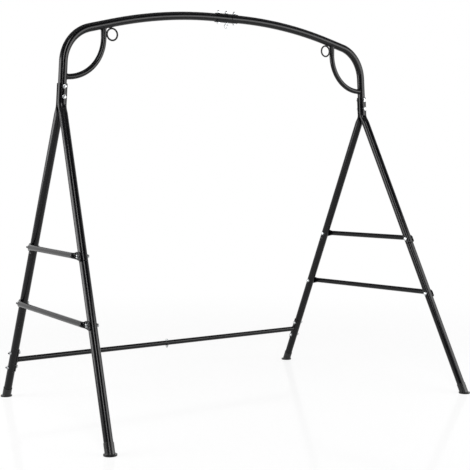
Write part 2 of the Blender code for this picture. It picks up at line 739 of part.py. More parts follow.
def fasten_rear_bar(parts, finish):
    """Two bolts and nuts through each bar plate and rear leg, and one bolt through the bar's lap."""
    head = MAIN_TUBE / 2 + BAR_PLATE_THICKNESS + 2 * FIT_GAP
    seat = MAIN_TUBE / 2 + FIT_GAP
    bolt = bolt_mesh("bar_plate_bolt", head + seat, BAR_PLATE_BOLT_TAIL, False)
    nut = nut_mesh("bar_plate_nut")
    for side_name, side in SIDES.items():
        out = -bar_plate_facing(side)
        joined = [parts[f"bar_plate_{side_name}"], parts[f"lower_leg_rear_{side_name}"]]
        for level, shift in (("lower", -1), ("upper", 1)):
            place = bar_point(side) + leg_direction(side, 1) * shift * BAR_PLATE_BOLT_PITCH / 2
            drill(joined, place, out, 2 * head)
            where = f"{level}_{side_name}"
            place_bolt(f"bar_plate_bolt_{where}", bolt, place - out * head, out, finish)
            place_bolt(f"bar_plate_nut_{where}", nut, place + out * seat, out, finish)
    middle = bar_point(1)
    middle.x = 0
    reach = BAR_TUBE / 2 + FIT_GAP
    drill([parts["rear_bar_left"], parts["rear_bar_right"]], middle, UP, 2 * reach)
    mesh = bolt_mesh("rear_bar_bolt", 2 * reach, BAR_BOLT_TAIL, True)
    place_bolt("rear_bar_bolt", mesh, middle + UP * reach, -UP, finish)


def main():
    start_scene()
    steel = material("black powder-coated steel", (0.018, 0.018, 0.02), 0.35, 0.0)
    zinc = material("zinc-plated steel", (0.72, 0.72, 0.70), 0.3, 1.0)
    plastic = material("black moulded plastic", (0.012, 0.012, 0.012), 0.5, 0.0)
    pieces = [make_beam_half(-1, steel), make_beam_half(1, steel)]
    beams = list(pieces)
    for side_name, side in SIDES.items():
        for end_name in ENDS:
            pieces.append(make_upper_leg(side_name, end_name, steel))
            pieces.append(make_lower_leg(side_name, end_name, steel))
            make_foot_cap(side_name, end_name, plastic)
        pieces += [make_rung(side_name, level, steel) for level in RUNG_HEIGHTS]
        pieces += [make_bar_plate(side_name, steel), make_rear_bar_half(side, steel)]
        make_corner_brace(side_name, steel)
        make_hanging_ring(side_name, steel)
    parts = {piece.name: piece for piece in pieces}
    fasten_splice(make_splice_plates(steel), beams, zinc)
    fasten_posts(parts, zinc)
    fasten_rungs(parts, zinc)
    fasten_rear_bar(parts, zinc)


main()
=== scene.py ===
import math

import bmesh
import bpy
from mathutils import Matrix, Vector


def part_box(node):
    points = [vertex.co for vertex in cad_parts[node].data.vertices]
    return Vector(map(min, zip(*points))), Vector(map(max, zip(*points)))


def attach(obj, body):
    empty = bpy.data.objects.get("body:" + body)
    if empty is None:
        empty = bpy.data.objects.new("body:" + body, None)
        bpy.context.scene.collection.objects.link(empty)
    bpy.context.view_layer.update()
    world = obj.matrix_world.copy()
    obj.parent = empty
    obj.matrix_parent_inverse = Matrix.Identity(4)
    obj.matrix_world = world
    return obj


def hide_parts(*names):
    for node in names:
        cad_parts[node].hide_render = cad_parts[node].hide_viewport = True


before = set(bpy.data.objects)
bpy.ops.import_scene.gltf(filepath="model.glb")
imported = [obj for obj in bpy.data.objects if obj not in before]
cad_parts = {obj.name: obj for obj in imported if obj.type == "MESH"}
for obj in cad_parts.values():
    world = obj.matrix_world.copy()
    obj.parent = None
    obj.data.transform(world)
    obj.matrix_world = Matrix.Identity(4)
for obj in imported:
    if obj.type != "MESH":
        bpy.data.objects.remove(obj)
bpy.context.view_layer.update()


# Black powder coat, the finish of every tube, plate, ring and weld. Polyester powder is sprayed on
# bare steel and baked to one skin: deep black, between satin and gloss, with a fine orange peel that
# softens every reflection. The real ripples are 1 to 2 mm apart and are drawn a little coarser here.
COAT_BLACK = "#070709"
COAT_RUBBED = "#0E0E10"
COAT_IOR = 1.31
COAT_GLOSSY = 0.12
COAT_SATIN = 0.20
COAT_SHADE_SPAN = (0.45, 0.75)
COAT_GLOSS_SPAN = (0.35, 0.65)
HANDLED_PATCH = 0.090
PEEL_PITCH = 0.0030
PEEL_HEIGHT = 0.00001


def linear(hex_colour):
    """Turns an sRGB hex colour into the linear colour that a socket takes."""
    shares = [int(hex_colour[start:start + 2], 16) / 255 for start in (1, 3, 5)]
    return (*[s / 12.92 if s <= 0.04045 else ((s + 0.055) / 1.055) ** 2.4 for s in shares], 1)


def add_node(tree, kind, inputs=None, **settings):
    """Adds a node with its settings, and fills its inputs with values or with links."""
    made = tree.nodes.new(kind)
    for name, value in settings.items():
        setattr(made, name, value)
    for name, value in (inputs or {}).items():
        for part in value if isinstance(value, list) else [value]:
            if isinstance(part, bpy.types.NodeSocket):
                tree.links.new(part, made.inputs[name])
            else:
                made.inputs[name].default_value = part
    return made


def new_material(name):
    """An empty material with its tree, its shader and the place of each surface point."""
    finish = bpy.data.materials.new(name)
    finish.use_nodes = True
    tree = finish.node_tree
    tree.nodes.clear()
    shader = add_node(tree, "ShaderNodeBsdfPrincipled")
    add_node(tree, "ShaderNodeOutputMaterial", {"Surface": shader.outputs["BSDF"]})
    place = add_node(tree, "ShaderNodeTexCoord").outputs["Object"]
    return finish, tree, shader, place


def mottled(name, patch, shades, span, gloss, gloss_span, grain, relief, strength=1.0, details=(2, 2)):
    """A finish whose shade and gloss change from patch to patch, over a fine grain in relief."""
    finish, tree, shader, place = new_material(name)
    patches = add_node(tree, "ShaderNodeTexNoise", {"Vector": place, "Scale": 1 / patch,
                                                    "Detail": details[0]})
    colour = add_node(tree, "ShaderNodeValToRGB", {"Fac": patches.outputs["Fac"]})
    for stop, position, shade in zip(colour.color_ramp.elements, span, shades):
        stop.position = position
        stop.color = linear(shade)
    sheen = add_node(tree, "ShaderNodeMapRange", {"Value": patches.outputs["Fac"],
                                                  "From Min": gloss_span[0], "From Max": gloss_span[1],
                                                  "To Min": gloss[0], "To Max": gloss[1]})
    marks = add_node(tree, "ShaderNodeTexNoise", {"Vector": place, "Scale": 1 / grain,
                                                  "Detail": details[1]})
    bump = add_node(tree, "ShaderNodeBump", {"Height": marks.outputs["Fac"], "Distance": relief,
                                             "Strength": strength})
    tree.links.new(colour.outputs["Color"], shader.inputs["Base Color"])
    tree.links.new(sheen.outputs["Result"], shader.inputs["Roughness"])
    tree.links.new(bump.outputs["Normal"], shader.inputs["Normal"])
    return finish, shader


coat, coat_shader = mottled("black_polyester_powder_coat", HANDLED_PATCH, (COAT_BLACK, COAT_RUBBED),
                            COAT_SHADE_SPAN, (COAT_GLOSSY, COAT_SATIN), COAT_GLOSS_SPAN, PEEL_PITCH,
                            PEEL_HEIGHT, details=(4, 2))
coat_shader.inputs["IOR"].default_value = COAT_IOR


# Beam. Two bent lengths of 38 mm steel tube make the arch, the shoulders and both posts. Each is bent
# on a mandrel, and the right one has its inner end drawn down to a spigot that slides into the left.
SIDES = {"left": -1, "right": 1}
ENDS = {"front": -1, "rear": 1}
UP = Vector((0, 0, 1))
MAIN_RADIUS = 0.0190
MAIN_WALL = 0.0015
TUBE_SIDES = 64
FIT_GAP = 0.0003
MOUTH_ROUNDING = 0.0004
HOLD_DISTANCE = 0.0015
SWAGE_LENGTH = 0.003
LEVEL_LENGTH = 0.131
ARCH_RADIUS = 2.304
SHOULDER_SLOPE = math.radians(13.9)
SHOULDER_LENGTH = 0.113
CORNER_RADIUS = 0.169
POST_LEAN = math.radians(3.65)
POST_END_BELOW_TOP = 0.433
BEAM_SEAM_X = 0.022
BEAM_SPIGOT_TIP_X = -0.070
ARCH_STEPS = 16
CORNER_STEPS = 28
SHARP_ANGLE = math.radians(35)
SKIN_EDGE = math.radians(50)
BOLT_RADIUS = 0.0040
HOLE_SIDES = 24

frame_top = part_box("beam_left")[1].z
beam_height = frame_top - MAIN_RADIUS


def new_tree(name, inputs):
    """A geometry tree with named inputs, its input node and its output node."""
    tree = bpy.data.node_groups.new(name, "GeometryNodeTree")
    tree.interface.new_socket("Geometry", in_out="INPUT", socket_type="NodeSocketGeometry")
    for label, kind in inputs.items():
        tree.interface.new_socket(label, in_out="INPUT", socket_type="NodeSocket" + kind)
    tree.interface.new_socket("Geometry", in_out="OUTPUT", socket_type="NodeSocketGeometry")
    return tree, add_node(tree, "NodeGroupInput").outputs


def end_tree(tree, shape, finish):
    """Ends a tree: its instances made real, its finish set."""
    real = add_node(tree, "GeometryNodeRealizeInstances", {"Geometry": shape})
    dressed = add_node(tree, "GeometryNodeSetMaterial", {"Geometry": real.outputs["Geometry"],
                                                         "Material": finish})
    add_node(tree, "NodeGroupOutput", {"Geometry": dressed.outputs["Geometry"]})
    return tree


def bent_tube_tree():
    """A round skin along a line of points; the swage attribute gives the share of the full radius."""
    tree, given = new_tree("bent_tube", {"Radius": "Float", "Sides": "Int", "Finish": "Material"})
    line = add_node(tree, "GeometryNodeMeshToCurve", {"Mesh": given["Geometry"]})
    section = add_node(tree, "GeometryNodeCurvePrimitiveCircle", {"Resolution": given["Sides"],
                                                                  "Radius": given["Radius"]})
    swage = add_node(tree, "GeometryNodeInputNamedAttribute", {"Name": "swage"})
    skin = add_node(tree, "GeometryNodeCurveToMesh", {"Curve": line.outputs["Curve"],
                                                      "Profile Curve": section.outputs["Curve"],
                                                      "Scale": swage.outputs["Attribute"]})
    return end_tree(tree, skin.outputs["Mesh"], given["Finish"])


def add_draft(name, mesh):
    draft = bpy.data.objects.new(name, mesh)
    bpy.context.scene.collection.objects.link(draft)
    return draft


def held(points, shares):
    """Adds a point beside each mouth and each step in width, which keeps the shading between straight."""
    last = len(points) - 1
    line = []
    for step, (point, share) in enumerate(zip(points, shares)):
        before = step > 0 and shares[step - 1] == share
        after = step < last and shares[step + 1] == share
        if before and not after:
            line.append((point + (points[step - 1] - point).normalized() * HOLD_DISTANCE, share))
        line.append((point, share))
        if after and not before:
            line.append((point + (points[step + 1] - point).normalized() * HOLD_DISTANCE, share))
    return zip(*line)


def line_draft(name, points, closed=False, swage=None):
    """A line of points as a mesh of edges, with the share of the full radius at each point."""
    shares = swage or [1.0] * len(points)
    if not closed:
        points, shares = held(points, shares)
    mesh = bpy.data.meshes.new(name)
    count = len(points)
    edges = [(step, (step + 1) % count) for step in range(count if closed else count - 1)]
    mesh.from_pydata(points, edges, [])
    mesh.attributes.new("swage", "FLOAT", "POINT").data.foreach_set("value", shares)
    return add_draft(name, mesh)


def grow(draft, tree, values):
    """Puts a geometry tree on a draft, with its inputs set by their identifiers."""
    modifier = draft.modifiers.new(tree.name, "NODES")
    modifier.node_group = tree
    for socket in tree.interface.items_tree:
        if socket.name in values:
            modifier[socket.identifier] = values[socket.name]


def round_edges(draft, rounding, sharp):
    """Rounds every edge that is sharper than an angle."""
    edge = draft.modifiers.new("rounding", "BEVEL")
    edge.width = rounding
    edge.segments = 2
    edge.limit_method = "ANGLE"
    edge.angle_limit = sharp


def thicken(draft, wall, rounding, offset=-1):
    """Gives a skin its wall and rounds the edges of its mouths."""
    shell = draft.modifiers.new("wall", "SOLIDIFY")
    shell.thickness = wall
    shell.offset = offset
    shell.use_even_offset = True
    round_edges(draft, rounding, SKIN_EDGE)


def as_mesh(builder, name, *finishes):
    """Turns a builder into a mesh that wears the finishes."""
    mesh = bpy.data.meshes.new(name)
    builder.to_mesh(mesh)
    builder.free()
    for finish in finishes:
        mesh.materials.append(finish)
    return mesh


def rod_mesh(name, rods, radius, sides):
    """Plain cylinders, each from one point to another, to cut holes and seats with."""
    builder = bmesh.new()
    for start, end in rods:
        way = end - start
        place = Matrix.Translation((start + end) / 2) @ way.to_track_quat("Z", "Y").to_matrix().to_4x4()
        bmesh.ops.create_cone(builder, cap_ends=True, segments=sides, radius1=radius, radius2=radius,
                              depth=way.length, matrix=place)
    return as_mesh(builder, name)


def cut(draft, rods, radius, sides):
    """Cuts cylinders out of a draft and gives back the cutter, which goes when the draft is done."""
    cutter = add_draft("cutter", rod_mesh("cutter", rods, radius, sides))
    cutter.hide_render = True
    modifier = draft.modifiers.new("cut", "BOOLEAN")
    modifier.operation = "DIFFERENCE"
    modifier.object = cutter
    return cutter


def drill(draft, bolts):
    """Drills the holes of the bolts, each a place on its axis with its way and its reach."""
    rods = [(place - way * reach, place + way * reach) for place, way, reach in bolts]
    return cut(draft, rods, BOLT_RADIUS + FIT_GAP, HOLE_SIDES)


def settle(draft, name, nodes=(), cutters=()):
    """Turns a draft and its modifiers into a plain mesh that stands for its CAD nodes."""
    seen = draft.evaluated_get(bpy.context.evaluated_depsgraph_get())
    mesh = bpy.data.meshes.new_from_object(seen)
    for spent in (draft, *cutters):
        bpy.data.objects.remove(spent)
    mesh.name = name
    mesh.shade_smooth()
    mesh.set_sharp_from_angle(angle=SHARP_ANGLE)
    piece = add_draft(name, mesh)
    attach(piece, "root")
    if nodes:
        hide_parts(*nodes)
    return piece


def straight(points, heading, length):
    """Carries a centre line in the X-Z plane on by a straight run."""
    x, z = points[-1]
    points.append((x + length * math.cos(heading), z - length * math.sin(heading)))


def bend(points, heading, radius, turn, steps):
    """Carries a centre line round a downward bend and gives its new heading."""
    x, z = points[-1]
    for step in range(1, steps + 1):
        angle = heading + turn * step / steps
        points.append((x + radius * (math.sin(angle) - math.sin(heading)),
                       z - radius * (math.cos(heading) - math.cos(angle))))
    return heading + turn


def beam_line():
    """Centre line of half the beam, from its level middle to the foot of its post."""
    points = [(LEVEL_LENGTH / 2, beam_height)]
    heading = bend(points, 0, ARCH_RADIUS, SHOULDER_SLOPE, ARCH_STEPS)
    straight(points, heading, SHOULDER_LENGTH)
    heading = bend(points, heading, CORNER_RADIUS, math.pi / 2 - POST_LEAN - heading, CORNER_STEPS)
    post_end = frame_top - POST_END_BELOW_TOP
    straight(points, heading, (points[-1][1] - post_end) / math.cos(POST_LEAN))
    return points


beam_points = beam_line()
post_foot = beam_points[-1]
shoulder_start = beam_points[ARCH_STEPS]


def post_point(side, height):
    """Point of a post's axis at a height, carried on below the post's end."""
    x = post_foot[0] + (post_foot[1] - height) * math.tan(POST_LEAN)
    return Vector((side * x, 0, height))


SPLICE_BOLT_PITCH = 0.0455
SPLICE_REACH = 0.045
POST_BOLTS_BELOW_TOP = {"lower": 0.4200, "upper": 0.3755}
POST_REACH = 0.045
back = Vector((0, 1, 0))

splice_bolts = {name: (Vector((offset * SPLICE_BOLT_PITCH, 0, beam_height)), UP, SPLICE_REACH)
                for name, offset in (("left", -1), ("middle", 0), ("right", 1))}
post_bolts = {(level, side_name): (post_point(side, frame_top - drop), back, POST_REACH)
              for level, drop in POST_BOLTS_BELOW_TOP.items() for side_name, side in SIDES.items()}
bent_tube = bent_tube_tree()

for side_name, side in SIDES.items():
    outline = [Vector((side * x, 0, z)) for x, z in beam_points]
    seam = Vector((BEAM_SEAM_X, 0, beam_height))
    shares = [1.0] * (len(outline) + 1)
    points = [seam] + outline
    if side > 0:
        slim = (MAIN_RADIUS - MAIN_WALL - FIT_GAP) / MAIN_RADIUS
        shoulder = seam + Vector((FIT_GAP, 0, 0))
        tip = Vector((BEAM_SPIGOT_TIP_X, 0, beam_height))
        points = [tip, shoulder, shoulder + Vector((SWAGE_LENGTH, 0, 0))] + outline
        shares = [slim, slim] + [1.0] * (len(outline) + 1)
    draft = line_draft("beam", points, swage=shares)
    grow(draft, bent_tube, {"Radius": MAIN_RADIUS, "Sides": TUBE_SIDES, "Finish": coat})
    thicken(draft, MAIN_WALL, MOUTH_ROUNDING)
    holes = list(splice_bolts.values()) + [post_bolts[level, side_name] for level in POST_BOLTS_BELOW_TOP]
    cutter = drill(draft, holes)
    settle(draft, f"beam_tube_{side_name}", [f"beam_{side_name}"], [cutter])


# Corner braces. A 25 mm tube, bent a quarter turn, stiffens each corner between beam and post. Both
# of its ends are notched to sit on the main tube and welded all round before the frame is coated.
BRACE_RADIUS = 0.0125
LIGHT_WALL = 0.0012
LIGHT_SIDES = 48
BRACE_FROM_ARCH = 0.0415
BRACE_STRAIGHT = 0.0545
BRACE_FOOT_RUN = 0.021
BRACE_STEPS = 30
COPE_REACH = 0.045
COPE_SIDES = 96
BEAD_RADIUS = 0.0026
BEAD_PITCH = 0.0030
BEAD_RIPPLE = 0.10
BEAD_SIDES = 14
BEAD_STEP = 0.0006
BEAD_POINTS = 96


def weld_bead_tree():
    """A bead of weld along a line: a thin roll whose ripples repeat at the pitch."""
    tree, given = new_tree("weld_bead", {"Radius": "Float", "Pitch": "Float", "Ripple": "Float",
                                         "Step": "Float", "Sides": "Int", "Taper": "Float",
                                         "Finish": "Material"})
    line = add_node(tree, "GeometryNodeMeshToCurve", {"Mesh": given["Geometry"]})
    even = add_node(tree, "GeometryNodeResampleCurve", {"Curve": line.outputs["Curve"],
                                                        "Length": given["Step"]}, mode="LENGTH")
    along = add_node(tree, "GeometryNodeSplineParameter")
    whole = add_node(tree, "GeometryNodeCurveLength", {"Curve": even.outputs["Curve"]})
    ripples = add_node(tree, "ShaderNodeMath", {0: whole.outputs["Length"], 1: given["Pitch"]},
                       operation="DIVIDE")
    count = add_node(tree, "ShaderNodeMath", {0: ripples.outputs[0]}, operation="ROUND")
    turns = add_node(tree, "ShaderNodeMath", {0: along.outputs["Factor"], 1: count.outputs[0]},
                     operation="MULTIPLY")
    angle = add_node(tree, "ShaderNodeMath", {0: turns.outputs[0], 1: 2 * math.pi}, operation="MULTIPLY")
    wave = add_node(tree, "ShaderNodeMath", {0: angle.outputs[0]}, operation="SINE")
    swell = add_node(tree, "ShaderNodeMath", {0: wave.outputs[0], 1: given["Ripple"], 2: 1.0},
                     operation="MULTIPLY_ADD")
    centred = add_node(tree, "ShaderNodeMath", {0: along.outputs["Factor"], 1: 2.0, 2: -1.0},
                       operation="MULTIPLY_ADD")
    square = add_node(tree, "ShaderNodeMath", {0: centred.outputs[0], 1: centred.outputs[0]},
                      operation="MULTIPLY")
    fading = add_node(tree, "ShaderNodeMath", {0: square.outputs[0], 1: given["Taper"]},
                      operation="MULTIPLY")
    taper = add_node(tree, "ShaderNodeMath", {0: 1.0, 1: fading.outputs[0]}, operation="SUBTRACT")
    scale = add_node(tree, "ShaderNodeMath", {0: swell.outputs[0], 1: taper.outputs[0]},
                     operation="MULTIPLY")
    section = add_node(tree, "GeometryNodeCurvePrimitiveCircle", {"Resolution": given["Sides"],
                                                                  "Radius": given["Radius"]})
    roll = add_node(tree, "GeometryNodeCurveToMesh", {"Curve": even.outputs["Curve"],
                                                      "Profile Curve": section.outputs["Curve"],
                                                      "Scale": scale.outputs[0], "Fill Caps": True})
    return end_tree(tree, roll.outputs["Mesh"], given["Finish"])


def joint_line(centre, way, radius, run_point, run_way, run_radius):
    """Where a branch tube that goes one way meets the outside of a run tube, all round the branch."""
    spoke = way.orthogonal().normalized()
    points = []
    for step in range(BEAD_POINTS):
        start = centre + radius * (Matrix.Rotation(2 * math.pi * step / BEAD_POINTS, 3, way) @ spoke)
        offset = start - run_point
        offset -= offset.dot(run_way) * run_way
        across = way - way.dot(run_way) * run_way
        slope = offset.dot(across) / across.length_squared
        rest = (offset.length_squared - run_radius ** 2) / across.length_squared
        points.append(start + way * (-slope - math.sqrt(slope ** 2 - rest)))
    return points


def weld(name, points, closed=True, radius=BEAD_RADIUS, taper=0.0):
    draft = line_draft(name, points, closed)
    grow(draft, weld_bead, {"Radius": radius, "Pitch": BEAD_PITCH, "Ripple": BEAD_RIPPLE, "Taper": taper,
                            "Step": BEAD_STEP, "Sides": BEAD_SIDES, "Finish": coat})
    settle(draft, name)


def shoulder_height(x):
    """Height of the beam's axis on its straight shoulder."""
    return shoulder_start[1] - (x - shoulder_start[0]) * math.tan(SHOULDER_SLOPE)


weld_bead = weld_bead_tree()
upright_x = shoulder_start[0] + BRACE_FROM_ARCH * math.cos(SHOULDER_SLOPE)
bend_top = shoulder_height(upright_x) - BRACE_STRAIGHT
bend_room = post_point(1, bend_top).x - upright_x - BRACE_FOOT_RUN
brace_bend = bend_room / (1 - math.tan(POST_LEAN))

for side_name, side in SIDES.items():
    head = Vector((side * upright_x, 0, shoulder_height(upright_x)))
    centre = head + Vector((side * brace_bend, 0, -BRACE_STRAIGHT))
    foot = post_point(side, centre.z - brace_bend)
    line = [head]
    for step in range(BRACE_STEPS + 1):
        angle = math.pi / 2 * step / BRACE_STEPS
        line.append(centre - brace_bend * Vector((side * math.cos(angle), 0, math.sin(angle))))
    line.append(foot)
    shoulder_way = Vector((side * math.cos(SHOULDER_SLOPE), 0, -math.sin(SHOULDER_SLOPE)))
    post_way = Vector((side * math.sin(POST_LEAN), 0, -math.cos(POST_LEAN)))
    draft = line_draft("brace", line)
    grow(draft, bent_tube, {"Radius": BRACE_RADIUS, "Sides": LIGHT_SIDES, "Finish": coat})
    thicken(draft, LIGHT_WALL, MOUTH_ROUNDING)
    copes = [cut(draft, [(place - way * COPE_REACH, place + way * COPE_REACH)],
                 MAIN_RADIUS + FIT_GAP, COPE_SIDES)
             for place, way in ((head, shoulder_way), (foot, post_way))]
    settle(draft, f"corner_brace_tube_{side_name}",
           [f"corner_brace_{side_name}"], copes)
    weld(f"brace_head_weld_{side_name}",
         joint_line(line[1], UP, BRACE_RADIUS, head, shoulder_way, MAIN_RADIUS))
    weld(f"brace_foot_weld_{side_name}",
         joint_line(line[-2], Vector((side, 0, 0)), BRACE_RADIUS, foot, post_way, MAIN_RADIUS))


# Hanging rings. The swing's chains hook into two rings of 8 mm steel rod, bent round and closed with
# a butt weld. Each is tacked under the beam and to the side of its brace, with a small gap in the nook.
RING_RADIUS = 0.0300
RING_WIRE = 0.0040
RING_SEGMENTS = 72
RING_SIDES = 20
TACK_LENGTH = 0.016
TACK_RADIUS = 0.0030
TACK_POINTS = 9
TACK_TAPER = 0.75


def tack_line(centre, way):
    """A short straight tack along the line where a ring touches a tube."""
    return [centre + way * TACK_LENGTH * (step / (TACK_POINTS - 1) - 0.5) for step in range(TACK_POINTS)]


ring_outer = RING_RADIUS + FIT_GAP
ring_x = upright_x - BRACE_RADIUS - ring_outer
ring_z = shoulder_height(ring_x) - (MAIN_RADIUS + ring_outer) / math.cos(SHOULDER_SLOPE)
for side_name, side in SIDES.items():
    centre = Vector((side * ring_x, 0, ring_z))
    loop = [centre + (RING_RADIUS - RING_WIRE) * Vector((math.cos(turn), 0, math.sin(turn)))
            for turn in [2 * math.pi * step / RING_SEGMENTS for step in range(RING_SEGMENTS)]]
    draft = line_draft("ring", loop, closed=True)
    grow(draft, bent_tube, {"Radius": RING_WIRE, "Sides": RING_SIDES, "Finish": coat})
    settle(draft, f"hanging_ring_rod_{side_name}", [f"hanging_ring_{side_name}"])
    beam_way = Vector((side * math.cos(SHOULDER_SLOPE), 0, -math.sin(SHOULDER_SLOPE)))
    beam_up = Vector((side * math.sin(SHOULDER_SLOPE), 0, math.cos(SHOULDER_SLOPE)))
    for place, touch, way in (("beam", centre + beam_up * ring_outer, beam_way),
                              ("brace", centre + Vector((side * ring_outer, 0, 0)), UP)):
        weld(f"ring_{place}_tack_{side_name}", tack_line(touch, way), closed=False, radius=TACK_RADIUS,
             taper=TACK_TAPER)


# Splice plates. Two half shells, pressed from 2.5 mm sheet, clamp over and under the seam of the beam
# and carry the centre bolts. Bare tube, with the seam across it, shows between them front and back.
SPLICE_LENGTH = 0.122
SPLICE_THICKNESS = 0.0025
SPLICE_HALF_ANGLE = math.radians(65)
PLATE_CORNER = 0.006
PLATE_ROUNDING = 0.0007
PLATE_COLUMNS = 40
CORNER_ROWS = 7


def hugging_plate(place, along, facing, length, half_angle):
    """The inner face of a curved plate that hugs a main tube, with its four corners rounded."""
    radius = MAIN_RADIUS + FIT_GAP
    across = along.cross(facing)
    shares = [1 - math.cos(math.pi / 2 * row / (CORNER_ROWS - 1)) for row in range(CORNER_ROWS)]
    inset = [PLATE_CORNER * share for share in shares]
    stations = inset + [length - step for step in reversed(inset)]
    builder = bmesh.new()
    rows = []
    for station in stations:
        from_end = min(station, length - station, PLATE_CORNER)
        cut_back = PLATE_CORNER - math.sqrt(PLATE_CORNER ** 2 - (PLATE_CORNER - from_end) ** 2)
        reach = half_angle - cut_back / radius
        turns = [reach * (2 * column / PLATE_COLUMNS - 1) for column in range(PLATE_COLUMNS + 1)]
        middle = place + along * (station - length / 2)
        rows.append([builder.verts.new(middle + radius * (math.cos(turn) * facing + math.sin(turn) * across))
                     for turn in turns])
    for first, second in zip(rows, rows[1:]):
        for column in range(PLATE_COLUMNS):
            builder.faces.new((first[column], first[column + 1], second[column + 1], second[column]))
    return as_mesh(builder, "plate", coat)


for name, facing in (("top", UP), ("bottom", -UP)):
    middle = Vector((0, 0, beam_height))
    draft = add_draft("plate", hugging_plate(middle, Vector((1, 0, 0)), facing, SPLICE_LENGTH,
                                             SPLICE_HALF_ANGLE))
    thicken(draft, SPLICE_THICKNESS, PLATE_ROUNDING, offset=1)
    cutter = drill(draft, splice_bolts.values())
    settle(draft, f"splice_shell_{name}", [f"splice_plate_{name}"], [cutter])


# Upper legs. The top of each 38 mm leg tube is pressed flat and round into a saddle, so that the front
# and the rear leg clasp the post between them. Its lower mouth slides over the lower leg's spigot.
FORK_BELOW_TOP = 0.480
SADDLE_TOP_ABOVE_FORK = 0.118
SADDLE_LENGTH = 0.075
SADDLE_HALF_ANGLE = math.radians(80)
PRESSING_LENGTH = 0.058
PRESSING_STEPS = 22
PRESSED_SLIT = 0.0003
PRESSED_SIDES = 96
PRESSED_EDGE = math.radians(60)
UPPER_RUNG_HEIGHT = 0.745
LEG_SEAM_BELOW_RUNG = 0.024
SADDLE_EASE = 0.0004

fork_height = frame_top - FORK_BELOW_TOP
pressed_thickness = 2 * MAIN_WALL + PRESSED_SLIT
saddle_seat = MAIN_RADIUS + FIT_GAP + SADDLE_EASE


def floor_centre(node):
    """Centre of the flat foot of a cap, where it stands on the floor."""
    corners = [point.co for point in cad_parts[node].data.vertices if point.co.z < FIT_GAP]
    low = Vector([min(corner[axis] for corner in corners) for axis in range(3)])
    high = Vector([max(corner[axis] for corner in corners) for axis in range(3)])
    return Vector(((low.x + high.x) / 2, (low.y + high.y) / 2, 0))


feet = {(side, end): floor_centre(f"foot_cap_{end_name}_{side_name}")
        for side_name, side in SIDES.items() for end_name, end in ENDS.items()}


def leg_point(side, end, height):
    """Point of a leg's axis at a height."""
    fork = post_point(side, fork_height) + Vector((0, end * MAIN_RADIUS, 0))
    return feet[side, end].lerp(fork, height / fork_height)


def leg_way(side, end):
    return (leg_point(side, end, fork_height) - leg_point(side, end, 0)).normalized()


def leg_seam(side, end):
    """Point of a leg's axis where the upper tube ends."""
    return leg_point(side, end, UPPER_RUNG_HEIGHT) - leg_way(side, end) * LEG_SEAM_BELOW_RUNG


def ease(share):
    """Smooth step from 0 to 1."""
    share = min(max(share, 0), 1)
    return share * share * (3 - 2 * share)


def ring_angles(sides):
    """Angles round a section from -180 to 180 degrees, with 0 on the side that faces out."""
    return [math.pi * (2 * step / sides - 1) for step in range(sides)]


def flattened(angle, half_width, thickness):
    """Place of a tube's wall once it is pressed flat: distance across, and height over the middle."""
    flat = half_width - thickness / 2
    fold = math.pi * thickness / 2
    travel = abs(angle) / math.pi * (2 * flat + fold)
    if travel <= flat:
        across, level = travel, thickness / 2
    elif travel < flat + fold:
        turn = 2 * (travel - flat) / thickness
        across, level = flat + thickness / 2 * math.sin(turn), thickness / 2 * math.cos(turn)
    else:
        across, level = 2 * flat + fold - travel, -thickness / 2
    return math.copysign(across, angle), level


def add_band(builder, first, second):
    """Faces all round between two rings."""
    for index in range(len(first)):
        builder.faces.new((first[index - 1], first[index], second[index], second[index - 1]))


def loft(*skins):
    """A hollow body between an outer and an inner skin of rings, closed at both mouths."""
    builder = bmesh.new()
    outer, inner = [[[builder.verts.new(point) for point in ring] for ring in skin] for skin in skins]
    for skin in (outer, inner):
        for first, second in zip(skin, skin[1:]):
            add_band(builder, first, second)
    add_band(builder, outer[0], inner[0])
    add_band(builder, outer[-1], inner[-1])
    bmesh.ops.recalc_face_normals(builder, faces=builder.faces)
    return as_mesh(builder, "loft", coat)


def saddle_rings(side, end, radius, thickness, inset):
    """Rings of one skin of an upper leg, from the round tube to the saddle on the post."""
    post_up = (post_point(side, 1) - post_point(side, 0)).normalized()
    leg_up = leg_way(side, end)
    facing = Vector((0, end, 0))
    leg_facing = (facing - facing.dot(leg_up) * leg_up).normalized()
    across_leg = leg_up.cross(leg_facing)
    across_post = post_up.cross(facing)
    middle = saddle_seat + pressed_thickness / 2
    half_width = middle * SADDLE_HALF_ANGLE - inset
    saddle_top = fork_height + SADDLE_TOP_ABOVE_FORK
    saddle_foot = saddle_top - SADDLE_LENGTH
    shares = [step / PRESSING_STEPS for step in range(PRESSING_STEPS + 1)]
    seam_height = leg_seam(side, end).z
    stations = [(seam_height, 0), (seam_height + HOLD_DISTANCE, 0)]
    stations += [(saddle_foot - PRESSING_LENGTH * (1 - share), ease(share)) for share in shares]
    stations += [(saddle_top - HOLD_DISTANCE, 1), (saddle_top, 1)]
    rings = []
    for height, share in stations:
        leg_centre = leg_point(side, end, height)
        post_centre = post_point(side, height)
        ring = []
        for angle in ring_angles(PRESSED_SIDES):
            across, level = flattened(angle, half_width, thickness)
            turn = across / middle
            round_spoke = math.cos(angle) * leg_facing + math.sin(angle) * across_leg
            saddle_spoke = math.cos(turn) * facing + math.sin(turn) * across_post
            round_place = leg_centre + radius * round_spoke
            ring.append(round_place.lerp(post_centre + (middle + level) * saddle_spoke, share))
        rings.append(ring)
    return rings


